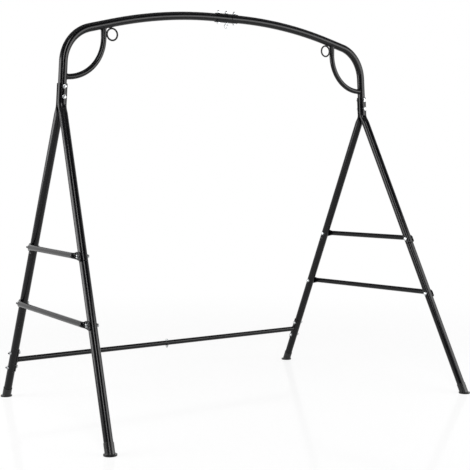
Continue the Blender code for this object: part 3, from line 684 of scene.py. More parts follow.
class RungPlace:
    """Line of a side rung between its two legs, with the direction that faces out of the stand."""

    def __init__(self, side, height):
        self.front = leg_point(side, -1, height)
        self.rear = leg_point(side, 1, height)
        self.front_up = leg_way(side, -1)
        self.rear_up = leg_way(side, 1)
        self.length = (self.rear - self.front).length
        self.along = (self.rear - self.front).normalized()
        out = self.front_up.cross(self.rear_up)
        self.out = out.normalized() * math.copysign(1, out.x * side)
        self.up = self.along.cross(self.out).normalized()
        self.up *= math.copysign(1, self.up.z)

    def bolts(self, reach):
        """The bolts through its front and rear ends."""
        return {"front": (self.front, self.out, reach), "rear": (self.rear, self.out, reach)}


LOWER_RUNG_HEIGHT = 0.476
RUNG_REACH = 0.040
rung_places = {(level, side_name): RungPlace(side, height) for side_name, side in SIDES.items()
               for level, height in (("upper", UPPER_RUNG_HEIGHT), ("lower", LOWER_RUNG_HEIGHT))}

for side_name, side in SIDES.items():
    for end_name, end in ENDS.items():
        outer = saddle_rings(side, end, MAIN_RADIUS, pressed_thickness, 0)
        inner = saddle_rings(side, end, MAIN_RADIUS - MAIN_WALL, PRESSED_SLIT, MAIN_WALL)
        draft = add_draft("upper_leg", loft(outer, inner))
        round_edges(draft, MOUTH_ROUNDING, PRESSED_EDGE)
        holes = [post_bolts[level, side_name] for level in POST_BOLTS_BELOW_TOP]
        holes.append(rung_places["upper", side_name].bolts(RUNG_REACH)[end_name])
        cutter = drill(draft, holes)
        settle(draft, f"upper_leg_tube_{end_name}_{side_name}",
               [f"upper_leg_{end_name}_{side_name}"], [cutter])


# Lower legs. The same 38 mm tube, with its upper end drawn down to a spigot that goes up inside the
# upper leg and past the rung's bolt, and its lower end cut square inside the foot cap.
LEG_SPIGOT_LENGTH = 0.060
LEG_END_HEIGHT = 0.0125
BAR_HEIGHT = 0.190
BAR_PLATE_BOLT_PITCH = 0.080
BAR_REACH = 0.040


def bar_point(side):
    return leg_point(side, 1, BAR_HEIGHT)


def bar_plate_facing(side):
    """Direction from a rear leg's axis to the rear bar, square to the leg."""
    up = leg_way(side, 1)
    inward = Vector((-side, 0, 0))
    return (inward - inward.dot(up) * up).normalized()


bar_plate_bolts = {}
for side_name, side in SIDES.items():
    for level, shift in (("lower", -1), ("upper", 1)):
        place = bar_point(side) + leg_way(side, 1) * shift * BAR_PLATE_BOLT_PITCH / 2
        bar_plate_bolts[level, side_name] = (place, -bar_plate_facing(side), BAR_REACH)

for side_name, side in SIDES.items():
    for end_name, end in ENDS.items():
        up = leg_way(side, end)
        shoulder = leg_seam(side, end) - up * FIT_GAP
        points = [shoulder + up * LEG_SPIGOT_LENGTH, shoulder, shoulder - up * SWAGE_LENGTH,
                  leg_point(side, end, LEG_END_HEIGHT)]
        slim = (MAIN_RADIUS - MAIN_WALL - FIT_GAP) / MAIN_RADIUS
        draft = line_draft("lower_leg", points, swage=[slim, slim, 1.0, 1.0])
        grow(draft, bent_tube, {"Radius": MAIN_RADIUS, "Sides": TUBE_SIDES, "Finish": coat})
        thicken(draft, MAIN_WALL, MOUTH_ROUNDING)
        holes = [rung_places[level, side_name].bolts(RUNG_REACH)[end_name] for level in ("upper", "lower")]
        if end > 0:
            holes += [bar_plate_bolts[level, side_name] for level in ("lower", "upper")]
        cutter = drill(draft, holes)
        settle(draft, f"lower_leg_tube_{end_name}_{side_name}",
               [f"lower_leg_{end_name}_{side_name}"], [cutter])


# Side rungs. A 25 mm tube ties each pair of legs together. Both of its ends are pressed flat into
# fishtails that lie on the outside of the legs, where one bolt and nut holds each of them.
RUNG_RADIUS = 0.0125
RUNG_TUCK = 0.0015
RUNG_END_LENGTH = 0.0185
RUNG_END_HEIGHT = 0.041
RUNG_FLAT_LENGTH = 0.014
RUNG_TAPER_LENGTH = 0.028
RUNG_WRAP_ANGLE = math.radians(6)
RUNG_WRAP_EASE = 0.0015
RUNG_CORNER = 0.0080
RUNG_CORNER_START = 0.3
RUNG_END_STEPS = 14
RUNG_TAPER_STEPS = 20
RUNG_SIDES = 64

rung_thickness = 2 * LIGHT_WALL + PRESSED_SLIT


def rung_ring(place, station, radius, thickness, inset):
    """Ring of a rung at a distance from the front leg's axis: round, pressed flat or between."""
    at_front = station < place.length / 2
    inward = station if at_front else place.length - station
    leg, leg_up, end = (place.front, place.front_up, -1) if at_front else (place.rear, place.rear_up, 1)
    share = (1 - ease((inward - RUNG_FLAT_LENGTH) / RUNG_TAPER_LENGTH)) ** 3
    flare = 1 - ease(inward / (RUNG_FLAT_LENGTH + RUNG_TAPER_LENGTH))
    corner = max(0, -inward / RUNG_END_LENGTH - RUNG_CORNER_START) / (1 - RUNG_CORNER_START)
    half_height = RUNG_RADIUS + flare * (RUNG_END_HEIGHT / 2 - RUNG_RADIUS) - inset
    half_height -= RUNG_CORNER * corner ** 2
    sideways = leg_up.cross(place.out)
    sideways *= math.copysign(1, sideways.dot(place.along) * end)
    seat = MAIN_RADIUS + FIT_GAP
    wrap_radius = seat + RUNG_WRAP_EASE
    wrap_limit = wrap_radius * math.sin(RUNG_WRAP_ANGLE)
    centre = place.front + place.along * station
    ring = []
    for angle in ring_angles(RUNG_SIDES):
        across, level = flattened(angle, half_height, thickness)
        tube_place = centre + place.out * (MAIN_RADIUS + RUNG_RADIUS - RUNG_TUCK)
        tube_place += radius * (math.cos(angle) * place.out + math.sin(angle) * place.up)
        offset = centre + across * leg_up - leg
        beyond = max(0, offset.dot(sideways))
        wrapped = min(beyond, wrap_limit)
        drop = wrap_radius - math.sqrt(wrap_radius ** 2 - wrapped ** 2)
        drop += (beyond - wrapped) * math.tan(RUNG_WRAP_ANGLE)
        height = seat - drop + rung_thickness / 2 + level
        flat_place = leg + offset + place.out * (height - offset.dot(place.out))
        ring.append(tube_place.lerp(flat_place, share))
    return ring


for (level, side_name), place in rung_places.items():
    near = [RUNG_END_LENGTH * (step / RUNG_END_STEPS - 1) for step in range(RUNG_END_STEPS + 1)]
    near += [RUNG_FLAT_LENGTH + RUNG_TAPER_LENGTH * step / RUNG_TAPER_STEPS
             for step in range(RUNG_TAPER_STEPS + 1)]
    stations = near + [place.length - station for station in reversed(near)]
    outer, inner = [[rung_ring(place, station, *skin) for station in stations] for skin in
                    ((RUNG_RADIUS, rung_thickness, 0), (RUNG_RADIUS - LIGHT_WALL, PRESSED_SLIT, LIGHT_WALL))]
    draft = add_draft("rung", loft(outer, inner))
    round_edges(draft, MOUTH_ROUNDING, PRESSED_EDGE)
    cutter = drill(draft, place.bolts(RUNG_REACH).values())
    settle(draft, f"rung_tube_{level}_{side_name}",
           [f"{level}_rung_{side_name}"], [cutter])


# Rear bar. Two lengths of 25 mm tube, lapped and bolted in the middle, tie the rear legs together low
# down. Each outer end is welded to a curved plate that two bolts hold to its leg.
BAR_RADIUS = 0.0125
BAR_SEAM_X = 0.041
BAR_SPIGOT_LENGTH = 0.080
BAR_PLATE_LENGTH = 0.117
BAR_PLATE_THICKNESS = 0.003
BAR_PLATE_HALF_ANGLE = math.radians(60)
BAR_END_GAP = 0.0009

bar_middle = bar_point(1)
bar_middle.x = 0
bar_bolt = (bar_middle, UP, BAR_REACH)
for side_name, side in SIDES.items():
    end = bar_point(side)
    plate_face = MAIN_RADIUS + FIT_GAP + BAR_PLATE_THICKNESS
    seam = Vector((BAR_SEAM_X, end.y, end.z))
    tube_end = end - Vector((side * (MAIN_RADIUS + BAR_PLATE_THICKNESS + BAR_END_GAP), 0, 0))
    points = [seam, tube_end]
    shares = [1.0, 1.0]
    if side > 0:
        slim = (BAR_RADIUS - LIGHT_WALL - FIT_GAP) / BAR_RADIUS
        shoulder = seam + Vector((FIT_GAP, 0, 0))
        points = [seam - Vector((BAR_SPIGOT_LENGTH, 0, 0)), shoulder,
                  shoulder + Vector((SWAGE_LENGTH, 0, 0)), tube_end]
        shares = [slim, slim, 1.0, 1.0]
    draft = line_draft("bar", points, swage=shares)
    grow(draft, bent_tube, {"Radius": BAR_RADIUS, "Sides": LIGHT_SIDES, "Finish": coat})
    thicken(draft, LIGHT_WALL, MOUTH_ROUNDING)
    cutter = drill(draft, [bar_bolt])
    settle(draft, f"rear_bar_tube_{side_name}", [f"rear_bar_{side_name}"], [cutter])
    draft = add_draft("plate", hugging_plate(end, leg_way(side, 1), bar_plate_facing(side),
                                             BAR_PLATE_LENGTH, BAR_PLATE_HALF_ANGLE))
    thicken(draft, BAR_PLATE_THICKNESS, PLATE_ROUNDING, offset=1)
    cutter = drill(draft, [bar_plate_bolts[level, side_name] for level in ("lower", "upper")])
    settle(draft, f"bar_saddle_{side_name}", [f"bar_plate_{side_name}"], [cutter])
    weld(f"rear_bar_weld_{side_name}",
         joint_line(seam, Vector((side, 0, 0)), BAR_RADIUS, end, leg_way(side, 1), plate_face))


# Foot caps. Black polyethylene, injection moulded: a flat round foot with a sleeve that leans with the
# leg and grips the last few centimetres of its tube. A smooth mould leaves it black and softly shiny.
CAP_HEIGHT = 0.046
CAP_WALL = 0.0016
CAP_FLANGE_OVERHANG = 0.0068
CAP_FLANGE_THICKNESS = 0.007
CAP_ROUNDING = 0.0012
CAP_LIP_ROUNDING = 0.0006
CAP_FILLET = 0.003
CAP_FILLET_SHARE = 0.85
CAP_FILLET_STEPS = 6
CAP_SIDES = 72
ARC_STEPS = 5
CAP_BLACK = "#09090A"
CAP_GREY = "#111112"
CAP_SHADE_SPAN = (0.40, 0.70)
CAP_GLOSS = (0.24, 0.34)
CAP_IOR = 1.42
GLOSS_SPAN = (0.3, 0.7)
SPARK_PITCH = 0.0016
SPARK_HEIGHT = 0.00004
SPARK_STRENGTH = 0.5
SCUFF_SIZE = 12 * SPARK_PITCH


def arc_steps(radius, start, end):
    """Offsets along a quarter arc as pairs of cosine and sine."""
    return [(radius * math.cos(start + (end - start) * step / ARC_STEPS),
             radius * math.sin(start + (end - start) * step / ARC_STEPS)) for step in range(ARC_STEPS + 1)]


def cap_line(foot, leg_up, spoke):
    """Points of a cap's skin at one place round it: foot, rim, fillet, sleeve, lip and socket."""
    socket_radius = MAIN_RADIUS + FIT_GAP
    sleeve_radius = socket_radius + CAP_WALL
    rim = sleeve_radius + CAP_FLANGE_OVERHANG - CAP_ROUNDING
    step_up = (CAP_FLANGE_THICKNESS - sleeve_radius * spoke.z) / leg_up.z
    root = foot + leg_up * step_up + spoke * sleeve_radius
    outward = (root - foot - UP * CAP_FLANGE_THICKNESS).normalized()
    ledge = rim - (root - foot - UP * CAP_FLANGE_THICKNESS).length
    line = [foot + outward * (rim + out) + UP * (CAP_ROUNDING - down)
            for out, down in arc_steps(CAP_ROUNDING, math.pi / 2, 0)]
    line += [foot + outward * (rim + out) + UP * (CAP_FLANGE_THICKNESS - CAP_ROUNDING + rise)
             for out, rise in arc_steps(CAP_ROUNDING, 0, math.pi / 2)]
    start = root + outward * min(CAP_FILLET, CAP_FILLET_SHARE * ledge)
    end = root + leg_up * CAP_FILLET
    for step in range(CAP_FILLET_STEPS + 1):
        share = step / CAP_FILLET_STEPS
        line.append(start.lerp(root, share).lerp(root.lerp(end, share), share))
    sleeve_end = CAP_HEIGHT / leg_up.z
    lip = foot + leg_up * (sleeve_end - CAP_LIP_ROUNDING) + spoke * (sleeve_radius - CAP_LIP_ROUNDING)
    line.append(lip - leg_up * HOLD_DISTANCE + spoke * CAP_LIP_ROUNDING)
    line += [lip + leg_up * rise + spoke * out
             for out, rise in arc_steps(CAP_LIP_ROUNDING, 0, math.pi / 2)]
    line.append(foot + leg_up * sleeve_end + spoke * socket_radius)
    line.append(foot + leg_up * (LEG_END_HEIGHT / leg_up.z - FIT_GAP) + spoke * socket_radius)
    return line


def cap_mesh(side, end):
    foot = feet[side, end]
    leg_up = leg_way(side, end)
    across = leg_up.cross(Vector((1, 0, 0))).normalized()
    deep = leg_up.cross(across)
    turns = [2 * math.pi * step / CAP_SIDES for step in range(CAP_SIDES)]
    lines = [cap_line(foot, leg_up, math.cos(turn) * across + math.sin(turn) * deep) for turn in turns]
    builder = bmesh.new()
    rings = [[builder.verts.new(point) for point in ring] for ring in zip(*lines)]
    for first, second in zip(rings, rings[1:]):
        add_band(builder, first, second)
    builder.faces.new(rings[0])
    builder.faces.new(rings[-1])
    bmesh.ops.recalc_face_normals(builder, faces=builder.faces)
    return as_mesh(builder, "cap", polyethylene)


polyethylene, cap_shader = mottled("black_moulded_polyethylene", SCUFF_SIZE, (CAP_BLACK, CAP_GREY),
                                   CAP_SHADE_SPAN, CAP_GLOSS, GLOSS_SPAN, SPARK_PITCH, SPARK_HEIGHT,
                                   SPARK_STRENGTH, (2, 3))
cap_shader.inputs["IOR"].default_value = CAP_IOR
for side_name, side in SIDES.items():
    for end_name, end in ENDS.items():
        draft = add_draft("cap", cap_mesh(side, end))
        settle(draft, f"foot_boot_{end_name}_{side_name}",
               [f"foot_cap_{end_name}_{side_name}"])


# Fasteners. M8 hex bolts, nuts and flat washers of cold-forged steel, zinc plated: bright silver with a
# soft cloudy sheen. The eye bolt in the middle of the beam has a forged eye. The threads are painted a
# near-black tone: partly the thin plating there, and partly painted shade for the grooves that shade each
# other.
ACROSS_FLATS = 0.013
HEAD_HEIGHT = 0.0053
NUT_HEIGHT = 0.0065
WASHER_RADIUS = 0.0085
WASHER_THICKNESS = 0.0013
WASHER_SIDES = 40
THREAD_PITCH = 0.00125
THREAD_DEPTH = 0.0006
THREAD_SIDES = 24
CHAMFER_SLOPE = math.tan(math.radians(60))
CHAMFER_SHARE = 0.94
CONE_SIDES = 36
EYE_RADIUS = 0.012
EYE_WIRE = 0.003
EYE_NECK = 0.006
EYE_SEGMENTS = 48
EYE_SIDES = 16
TAILS = {"splice": 0.0055, "post": 0.0050, "rung": 0.0067, "plate": 0.0055, "bar": 0.0050}
ZINC_BRIGHT = "#D3D5D6"
ZINC_CLOUDY = "#AEB1B3"
# Near-black thread colour: thin plating, plus painted shade for the thread grooves.
THREAD_ZINC_AND_PAINTED_SHADE = "#1C1C1D"
ZINC_SHADE_SPAN = (0.35, 0.65)
ZINC_GLOSS = (0.42, 0.28)
THREAD_GLOSS = (0.50, 0.35)
CLOUD_SIZE = 0.006
FORGE_PITCH = 0.0012
FORGE_HEIGHT = 0.00005
FORGE_STRENGTH = 0.4


def new_fastener(name):
    return new_tree(name, {"Grip": "Float", "Tail": "Float", "Zinc": "Material", "Thread": "Material"})


def shifted(tree, shape, heights, turn=0.0):
    """Moves a shape along the fastener's axis by the sum of some heights, and may turn it over."""
    height = heights[0]
    for more in heights[1:]:
        height = add_node(tree, "ShaderNodeMath", {0: height, 1: more}, operation="ADD").outputs[0]
    place = add_node(tree, "ShaderNodeCombineXYZ", {"Z": height})
    return add_node(tree, "GeometryNodeTransform", {"Geometry": shape, "Translation": place.outputs[0],
                                                    "Rotation": (turn, 0, 0)}).outputs[0]


def washer(tree, height):
    """A flat washer, its lower face at a height."""
    disc = add_node(tree, "GeometryNodeMeshCylinder", {"Vertices": WASHER_SIDES, "Radius": WASHER_RADIUS,
                                                       "Depth": WASHER_THICKNESS})
    return shifted(tree, disc.outputs["Mesh"], (height, WASHER_THICKNESS / 2))


def hexagon(tree, heights, thickness, both_ends):
    """A hexagon on Z with its corners chamfered by a cone on top, and below too if asked."""
    corner = ACROSS_FLATS / 2 / math.cos(math.pi / 6)
    prism = add_node(tree, "GeometryNodeMeshCylinder", {"Vertices": 6, "Radius": corner, "Depth": thickness})
    narrow = ACROSS_FLATS / 2 * CHAMFER_SHARE
    cone = add_node(tree, "GeometryNodeMeshCone", {"Vertices": CONE_SIDES, "Radius Top": narrow,
                                                   "Radius Bottom": narrow + thickness * CHAMFER_SLOPE,
                                                   "Depth": thickness})
    shapes = [prism.outputs["Mesh"], shifted(tree, cone.outputs["Mesh"], [-thickness / 2])]
    if both_ends:
        shapes.append(shifted(tree, cone.outputs["Mesh"], [thickness / 2], math.pi))
    solid = add_node(tree, "GeometryNodeMeshBoolean", {"Mesh 2": shapes}, operation="INTERSECT",
                     solver="MANIFOLD")
    return shifted(tree, solid.outputs["Mesh"], (*heights, thickness / 2))


def shank(tree, given, start):
    """The bolt's rod from a height to its tip, and the thread wound round the end of it."""
    core = BOLT_RADIUS - THREAD_DEPTH
    tip = add_node(tree, "ShaderNodeMath", {0: given["Grip"], 1: given["Tail"]}, operation="ADD")
    length = add_node(tree, "ShaderNodeMath", {0: tip.outputs[0], 1: NUT_HEIGHT - start}, operation="ADD")
    half = add_node(tree, "ShaderNodeMath", {0: length.outputs[0], 1: 0.5}, operation="MULTIPLY")
    rod = add_node(tree, "GeometryNodeMeshCylinder", {"Vertices": THREAD_SIDES, "Radius": core,
                                                      "Depth": length.outputs[0]})
    wound = add_node(tree, "ShaderNodeMath", {0: given["Tail"], 1: NUT_HEIGHT - THREAD_DEPTH},
                     operation="ADD")
    turns = add_node(tree, "ShaderNodeMath", {0: wound.outputs[0], 1: THREAD_PITCH}, operation="DIVIDE")
    helix = add_node(tree, "GeometryNodeCurveSpiral", {"Resolution": THREAD_SIDES, "Start Radius": core,
                                                       "End Radius": core, "Height": wound.outputs[0],
                                                       "Rotations": turns.outputs[0]})
    section = add_node(tree, "GeometryNodeCurvePrimitiveCircle", {"Resolution": 4, "Radius": THREAD_DEPTH})
    ridge = add_node(tree, "GeometryNodeCurveToMesh", {"Curve": helix.outputs["Curve"],
                                                       "Profile Curve": section.outputs["Curve"],
                                                       "Fill Caps": True})
    return [shifted(tree, rod.outputs["Mesh"], (half.outputs[0], start)),
            shifted(tree, ridge.outputs["Mesh"], [given["Grip"]])]


def end_fastener(tree, given, **shapes):
    """Sets the shapes on each point of the draft, along its way, and gives each group its finish."""
    way = add_node(tree, "GeometryNodeInputNamedAttribute", {"Name": "way"}, data_type="FLOAT_VECTOR")
    turn = add_node(tree, "FunctionNodeAlignRotationToVector", {"Vector": way.outputs["Attribute"]})
    dressed = []
    for finish, group in shapes.items():
        whole = add_node(tree, "GeometryNodeJoinGeometry", {"Geometry": group})
        copies = add_node(tree, "GeometryNodeInstanceOnPoints", {"Points": given["Geometry"],
                                                                 "Instance": whole.outputs[0],
                                                                 "Rotation": turn.outputs[0]})
        real = add_node(tree, "GeometryNodeRealizeInstances", {"Geometry": copies.outputs[0]})
        dressed.append(add_node(tree, "GeometryNodeSetMaterial", {"Geometry": real.outputs[0],
                                                                  "Material": given[finish]}).outputs[0])
    fastener = add_node(tree, "GeometryNodeJoinGeometry", {"Geometry": dressed})
    add_node(tree, "NodeGroupOutput", {"Geometry": fastener.outputs[0]})
    return tree


def hex_bolt_tree():
    """Bolt whose seat lies at Z = 0: washer and head below it, rod and thread above."""
    tree, given = new_fastener("hex_bolt")
    head = shifted(tree, hexagon(tree, [0.0], HEAD_HEIGHT, False), [-WASHER_THICKNESS], math.pi)
    return end_fastener(tree, given, Zinc=[head, washer(tree, -WASHER_THICKNESS)],
                        Thread=shank(tree, given, -WASHER_THICKNESS))


def eye_bolt_tree():
    """Eye bolt whose seat lies at Z = 0, with its eye below on a short neck."""
    tree, given = new_fastener("eye_bolt")
    loop = add_node(tree, "GeometryNodeCurvePrimitiveCircle", {"Resolution": EYE_SEGMENTS,
                                                               "Radius": EYE_RADIUS - EYE_WIRE})
    wire = add_node(tree, "GeometryNodeCurvePrimitiveCircle", {"Resolution": EYE_SIDES, "Radius": EYE_WIRE})
    eye = add_node(tree, "GeometryNodeCurveToMesh", {"Curve": loop.outputs["Curve"],
                                                     "Profile Curve": wire.outputs["Curve"]})
    upright = shifted(tree, eye.outputs["Mesh"], [EYE_WIRE - EYE_NECK - EYE_RADIUS], math.pi / 2)
    collar = add_node(tree, "GeometryNodeMeshCylinder", {"Vertices": THREAD_SIDES, "Radius": BOLT_RADIUS,
                                                         "Depth": EYE_NECK})
    neck = shifted(tree, collar.outputs["Mesh"], [-EYE_NECK / 2])
    return end_fastener(tree, given, Zinc=[upright, neck, washer(tree, -WASHER_THICKNESS)],
                        Thread=shank(tree, given, 0.0))


def hex_nut_tree():
    """Nut and washer that stand on the far seat, at the grip's height."""
    tree, given = new_fastener("hex_nut")
    nut = hexagon(tree, (given["Grip"], WASHER_THICKNESS), NUT_HEIGHT, True)
    return end_fastener(tree, given, Zinc=[nut, washer(tree, given["Grip"])])


def zinc_plate(name, shades, gloss):
    finish, shader = mottled(name, CLOUD_SIZE, shades, ZINC_SHADE_SPAN, gloss, GLOSS_SPAN, FORGE_PITCH,
                             FORGE_HEIGHT, FORGE_STRENGTH, (3, 2))
    shader.inputs["Metallic"].default_value = 1.0
    return finish


zinc = zinc_plate("zinc_plated_steel", (ZINC_CLOUDY, ZINC_BRIGHT), ZINC_GLOSS)
# The thread finish: dull zinc, with the grooves' shade painted into its near-black colour.
thread_zinc = zinc_plate("zinc_thread_with_painted_shade", (THREAD_ZINC_AND_PAINTED_SHADE, THREAD_ZINC_AND_PAINTED_SHADE), THREAD_GLOSS)
hex_bolt = hex_bolt_tree()
eye_bolt = eye_bolt_tree()
hex_nut = hex_nut_tree()


def fasten(where, place, way, near, far, tail, nodes, nut_nodes=(), bolt=hex_bolt):
    """Puts a bolt and its nut through a joint: near and far are its seats from a place on its axis."""
    for name, kind, stood_for in ((f"bolt_{where}", bolt, nodes), (f"nut_{where}", hex_nut, nut_nodes)):
        mesh = bpy.data.meshes.new(name)
        mesh.from_pydata([place - way * near], [], [])
        mesh.attributes.new("way", "FLOAT_VECTOR", "POINT").data.foreach_set("vector", way)
        draft = add_draft(name, mesh)
        grow(draft, kind, {"Grip": near + far, "Tail": tail, "Zinc": zinc, "Thread": thread_zinc})
        settle(draft, name, stood_for)


splice_seat = MAIN_RADIUS + SPLICE_THICKNESS + 2 * FIT_GAP
for name, (place, way, _) in splice_bolts.items():
    node = "eye_bolt_middle" if name == "middle" else f"splice_bolt_{name}"
    kind = eye_bolt if name == "middle" else hex_bolt
    fasten(f"splice_{name}", place, way, splice_seat, splice_seat, TAILS["splice"], [node], bolt=kind)
post_seat = saddle_seat + pressed_thickness + FIT_GAP
for (level, side_name), (place, way, _) in post_bolts.items():
    fasten(f"post_{level}_{side_name}", place, way, post_seat, post_seat, TAILS["post"],
           [f"post_bolt_{level}_{side_name}"])
leg_face = MAIN_RADIUS + FIT_GAP
rung_face = leg_face + rung_thickness + FIT_GAP
for (level, side_name), rung in rung_places.items():
    for end_name, (place, way, _) in rung.bolts(RUNG_REACH).items():
        where = f"{level}_{end_name}_{side_name}"
        fasten(f"rung_{where}", place, way, leg_face, rung_face, TAILS["rung"],
               [f"rung_bolt_{where}"], [f"rung_nut_{where}"])
plate_seat = leg_face + BAR_PLATE_THICKNESS + FIT_GAP
for (level, side_name), (place, way, _) in bar_plate_bolts.items():
    fasten(f"plate_{level}_{side_name}", place, way, plate_seat, leg_face, TAILS["plate"],
           [f"bar_plate_bolt_{level}_{side_name}"], [f"bar_plate_nut_{level}_{side_name}"])
bar_face = BAR_RADIUS + FIT_GAP
fasten("rear_bar", bar_middle, -UP, bar_face, bar_face, TAILS["bar"], ["rear_bar_bolt"])


# Studio floor. A sheet of white gloss laminate under the stand. It is white of itself to the lens and
# to mirrors, a little less so near the feet, so that a trace of shadow and reflection shows there.
FLOOR_SIZE = 60.0
FLOOR_WHITE = "#F7F7F7"
FLOOR_ROUGHNESS = 0.10
FLOOR_IOR = 1.30
FLOOR_GLOW = 0.84
FADE_START = 1.6
FADE_END = 4.5


def lens_ray(tree):
    """1 for rays that come from the lens, a mirror or a clear body, 0 for light on its way."""
    path = add_node(tree, "ShaderNodeLightPath")
    seen = add_node(tree, "ShaderNodeMath", {0: path.outputs["Is Camera Ray"],
                                             1: path.outputs["Is Glossy Ray"]}, operation="MAXIMUM")
    return add_node(tree, "ShaderNodeMath", {0: seen.outputs[0], 1: path.outputs["Is Transmission Ray"]},
                    operation="MAXIMUM").outputs[0]


def white_floor():
    finish, tree, shader, place = new_material("white_gloss_studio_floor")
    shader.inputs["Base Color"].default_value = linear(FLOOR_WHITE)
    shader.inputs["Roughness"].default_value = FLOOR_ROUGHNESS
    shader.inputs["IOR"].default_value = FLOOR_IOR
    far = add_node(tree, "ShaderNodeVectorMath", {0: place}, operation="LENGTH")
    fade = add_node(tree, "ShaderNodeMapRange", {"Value": far.outputs["Value"], "From Min": FADE_START,
                                                 "From Max": FADE_END, "To Min": FLOOR_GLOW, "To Max": 1.0},
                    interpolation_type="SMOOTHSTEP")
    share = add_node(tree, "ShaderNodeMath", {0: fade.outputs["Result"], 1: lens_ray(tree)},
                     operation="MULTIPLY")
    glow = add_node(tree, "ShaderNodeEmission", {"Color": (1, 1, 1, 1), "Strength": 1.0})
    mixed = add_node(tree, "ShaderNodeMixShader", {"Fac": share.outputs[0]})
    tree.links.new(shader.outputs["BSDF"], mixed.inputs[1])
    tree.links.new(glow.outputs["Emission"], mixed.inputs[2])
    output = next(made for made in tree.nodes if made.type == "OUTPUT_MATERIAL")
    tree.links.new(mixed.outputs["Shader"], output.inputs["Surface"])
    return finish


def floor_mesh():
    builder = bmesh.new()
    bmesh.ops.create_grid(builder, x_segments=1, y_segments=1, size=FLOOR_SIZE / 2)
    return as_mesh(builder, "studio_floor", white_floor())


floor = add_draft("studio_floor", floor_mesh())


# Studio room. Black cloth hangs behind the camera and over it, and gives the tubes their dark bands.
# Over the stand it gives way to a grey ceiling. All the rest of the surround is plain white.
ROOM_RADIUS = 7.0
ROOM_HEIGHT = 4.5
ROOM_START = math.radians(195)
ROOM_END = math.radians(285)
ROOM_STEPS = 30
CEILING_SIDES = 72
CLOTH_BLACK = "#101010"
CLOTH_WORN = "#303030"
CLOTH_PATCH = 0.5
CLOTH_ROUGHNESS = 0.9
CEILING_GREY = "#B4B4B4"
CEILING_DARK_AT = -3.8
CEILING_PALE_AT = -1.4


def room_cloth(name):
    """Black cloth with worn patches, which gives back a trace of the light that falls on it."""
    finish, tree, shader, place = new_material(name)
    weave = add_node(tree, "ShaderNodeTexNoise", {"Vector": place, "Scale": 1 / CLOTH_PATCH})
    shade = add_node(tree, "ShaderNodeMixRGB", {"Fac": weave.outputs["Fac"], "Color1": linear(CLOTH_BLACK),
                                                "Color2": linear(CLOTH_WORN)})
    tree.links.new(shade.outputs["Color"], shader.inputs["Base Color"])
    shader.inputs["Roughness"].default_value = CLOTH_ROUGHNESS
    return finish, tree, shader, place, shade


def room_ceiling():
    """The same cloth over the camera, which gives way to a grey ceiling over the stand."""
    finish, tree, shader, place, shade = room_cloth("studio_ceiling")
    depth = add_node(tree, "ShaderNodeSeparateXYZ", {"Vector": place})
    share = add_node(tree, "ShaderNodeMapRange", {"Value": depth.outputs["Y"], "From Min": CEILING_DARK_AT,
                                                  "From Max": CEILING_PALE_AT})
    mixed = add_node(tree, "ShaderNodeMixRGB", {"Fac": share.outputs["Result"],
                                                "Color1": shade.outputs["Color"],
                                                "Color2": linear(CEILING_GREY)})
    tree.links.new(mixed.outputs["Color"], shader.inputs["Base Color"])
    return finish


def dark_room_mesh():
    """The dark wall behind the camera, and the ceiling over the whole set."""
    builder = bmesh.new()
    ceiling = bmesh.ops.create_circle(builder, cap_ends=True, segments=CEILING_SIDES, radius=ROOM_RADIUS)
    bmesh.ops.translate(builder, verts=ceiling["verts"], vec=(0, 0, ROOM_HEIGHT))
    rows = []
    for step in range(ROOM_STEPS + 1):
        turn = ROOM_START + (ROOM_END - ROOM_START) * step / ROOM_STEPS
        place = Vector((ROOM_RADIUS * math.cos(turn), ROOM_RADIUS * math.sin(turn), 0))
        rows.append((builder.verts.new(place), builder.verts.new(place + UP * ROOM_HEIGHT)))
    for first, second in zip(rows, rows[1:]):
        builder.faces.new((*first, *reversed(second)))
    mesh = as_mesh(builder, "dark_room", room_cloth("dark_room_cloth")[0], room_ceiling())
    for face in mesh.polygons:
        face.material_index = int(len(face.vertices) == CEILING_SIDES)
    return mesh


room = add_draft("dark_room", dark_room_mesh())
room.visible_camera = False

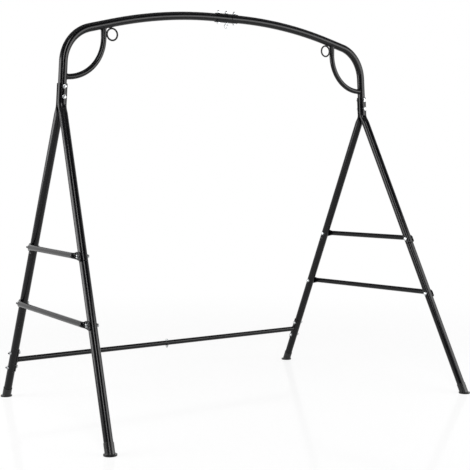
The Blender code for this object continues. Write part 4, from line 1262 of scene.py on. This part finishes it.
SURROUND_FILL = 0.65
surround = bpy.data.worlds.new("white_surround")
bpy.context.scene.world = surround
surround.use_nodes = True
sky_tree = surround.node_tree
sky_tree.nodes.clear()
brightness = add_node(sky_tree, "ShaderNodeMapRange", {"Value": lens_ray(sky_tree), "To Min": SURROUND_FILL,
                                                       "To Max": 1.0})
sky = add_node(sky_tree, "ShaderNodeBackground", {"Color": (1, 1, 1, 1),
                                                  "Strength": brightness.outputs["Result"]})
add_node(sky_tree, "ShaderNodeOutputWorld", {"Surface": sky.outputs["Background"]})


# Lights and camera. A wide bank on the left, a tall box high over the camera's left and a long one on
# its right are soft lights, and draw the highlights down the tubes. The camera stands at chest height.
CAMERA_PLACE = Vector((-3.0246, -4.2784, 1.1198))
CAMERA_PITCH = math.radians(3.682)
CAMERA_HEADING = math.radians(35.715)
CAMERA_LENS = 83.81
CAMERA_SENSOR = 36.0


def soft_light(name, place, target, width, height, radiance):
    """A rectangular soft light that faces a point; its power follows from its brightness."""
    lamp = bpy.data.lights.new(name, "AREA")
    lamp.shape = "RECTANGLE"
    lamp.size = width
    lamp.size_y = height
    lamp.energy = radiance * math.pi * width * height
    light = bpy.data.objects.new(name, lamp)
    bpy.context.scene.collection.objects.link(light)
    light.location = place
    light.rotation_euler = (target - place).to_track_quat("-Z", "Y").to_euler()
    light.visible_camera = False
    return light


soft_light("left_bank", place=Vector((-3.0, 1.0, 1.35)), target=Vector((0.0, 1.0, 1.35)),
           width=2.2, height=1.7, radiance=7.0)
soft_light("high_box", place=Vector((-2.25, -3.05, 3.15)), target=Vector((-1.0, -0.55, 1.65)),
           width=0.95, height=2.5, radiance=10.0)
soft_light("right_box", place=Vector((2.0, -2.2, 1.5)), target=Vector((1.4, 0.0, 1.5)),
           width=3.1, height=1.5, radiance=4.8)

lens = bpy.data.cameras.new("photo_camera")
lens.lens = CAMERA_LENS
lens.sensor_width = CAMERA_SENSOR
camera = bpy.data.objects.new("photo_camera", lens)
bpy.context.scene.collection.objects.link(camera)
camera.location = CAMERA_PLACE
camera.rotation_euler = (math.pi / 2 - CAMERA_PITCH, 0, -CAMERA_HEADING)
bpy.context.scene.camera = camera
bpy.context.scene.view_settings.view_transform = "Standard"
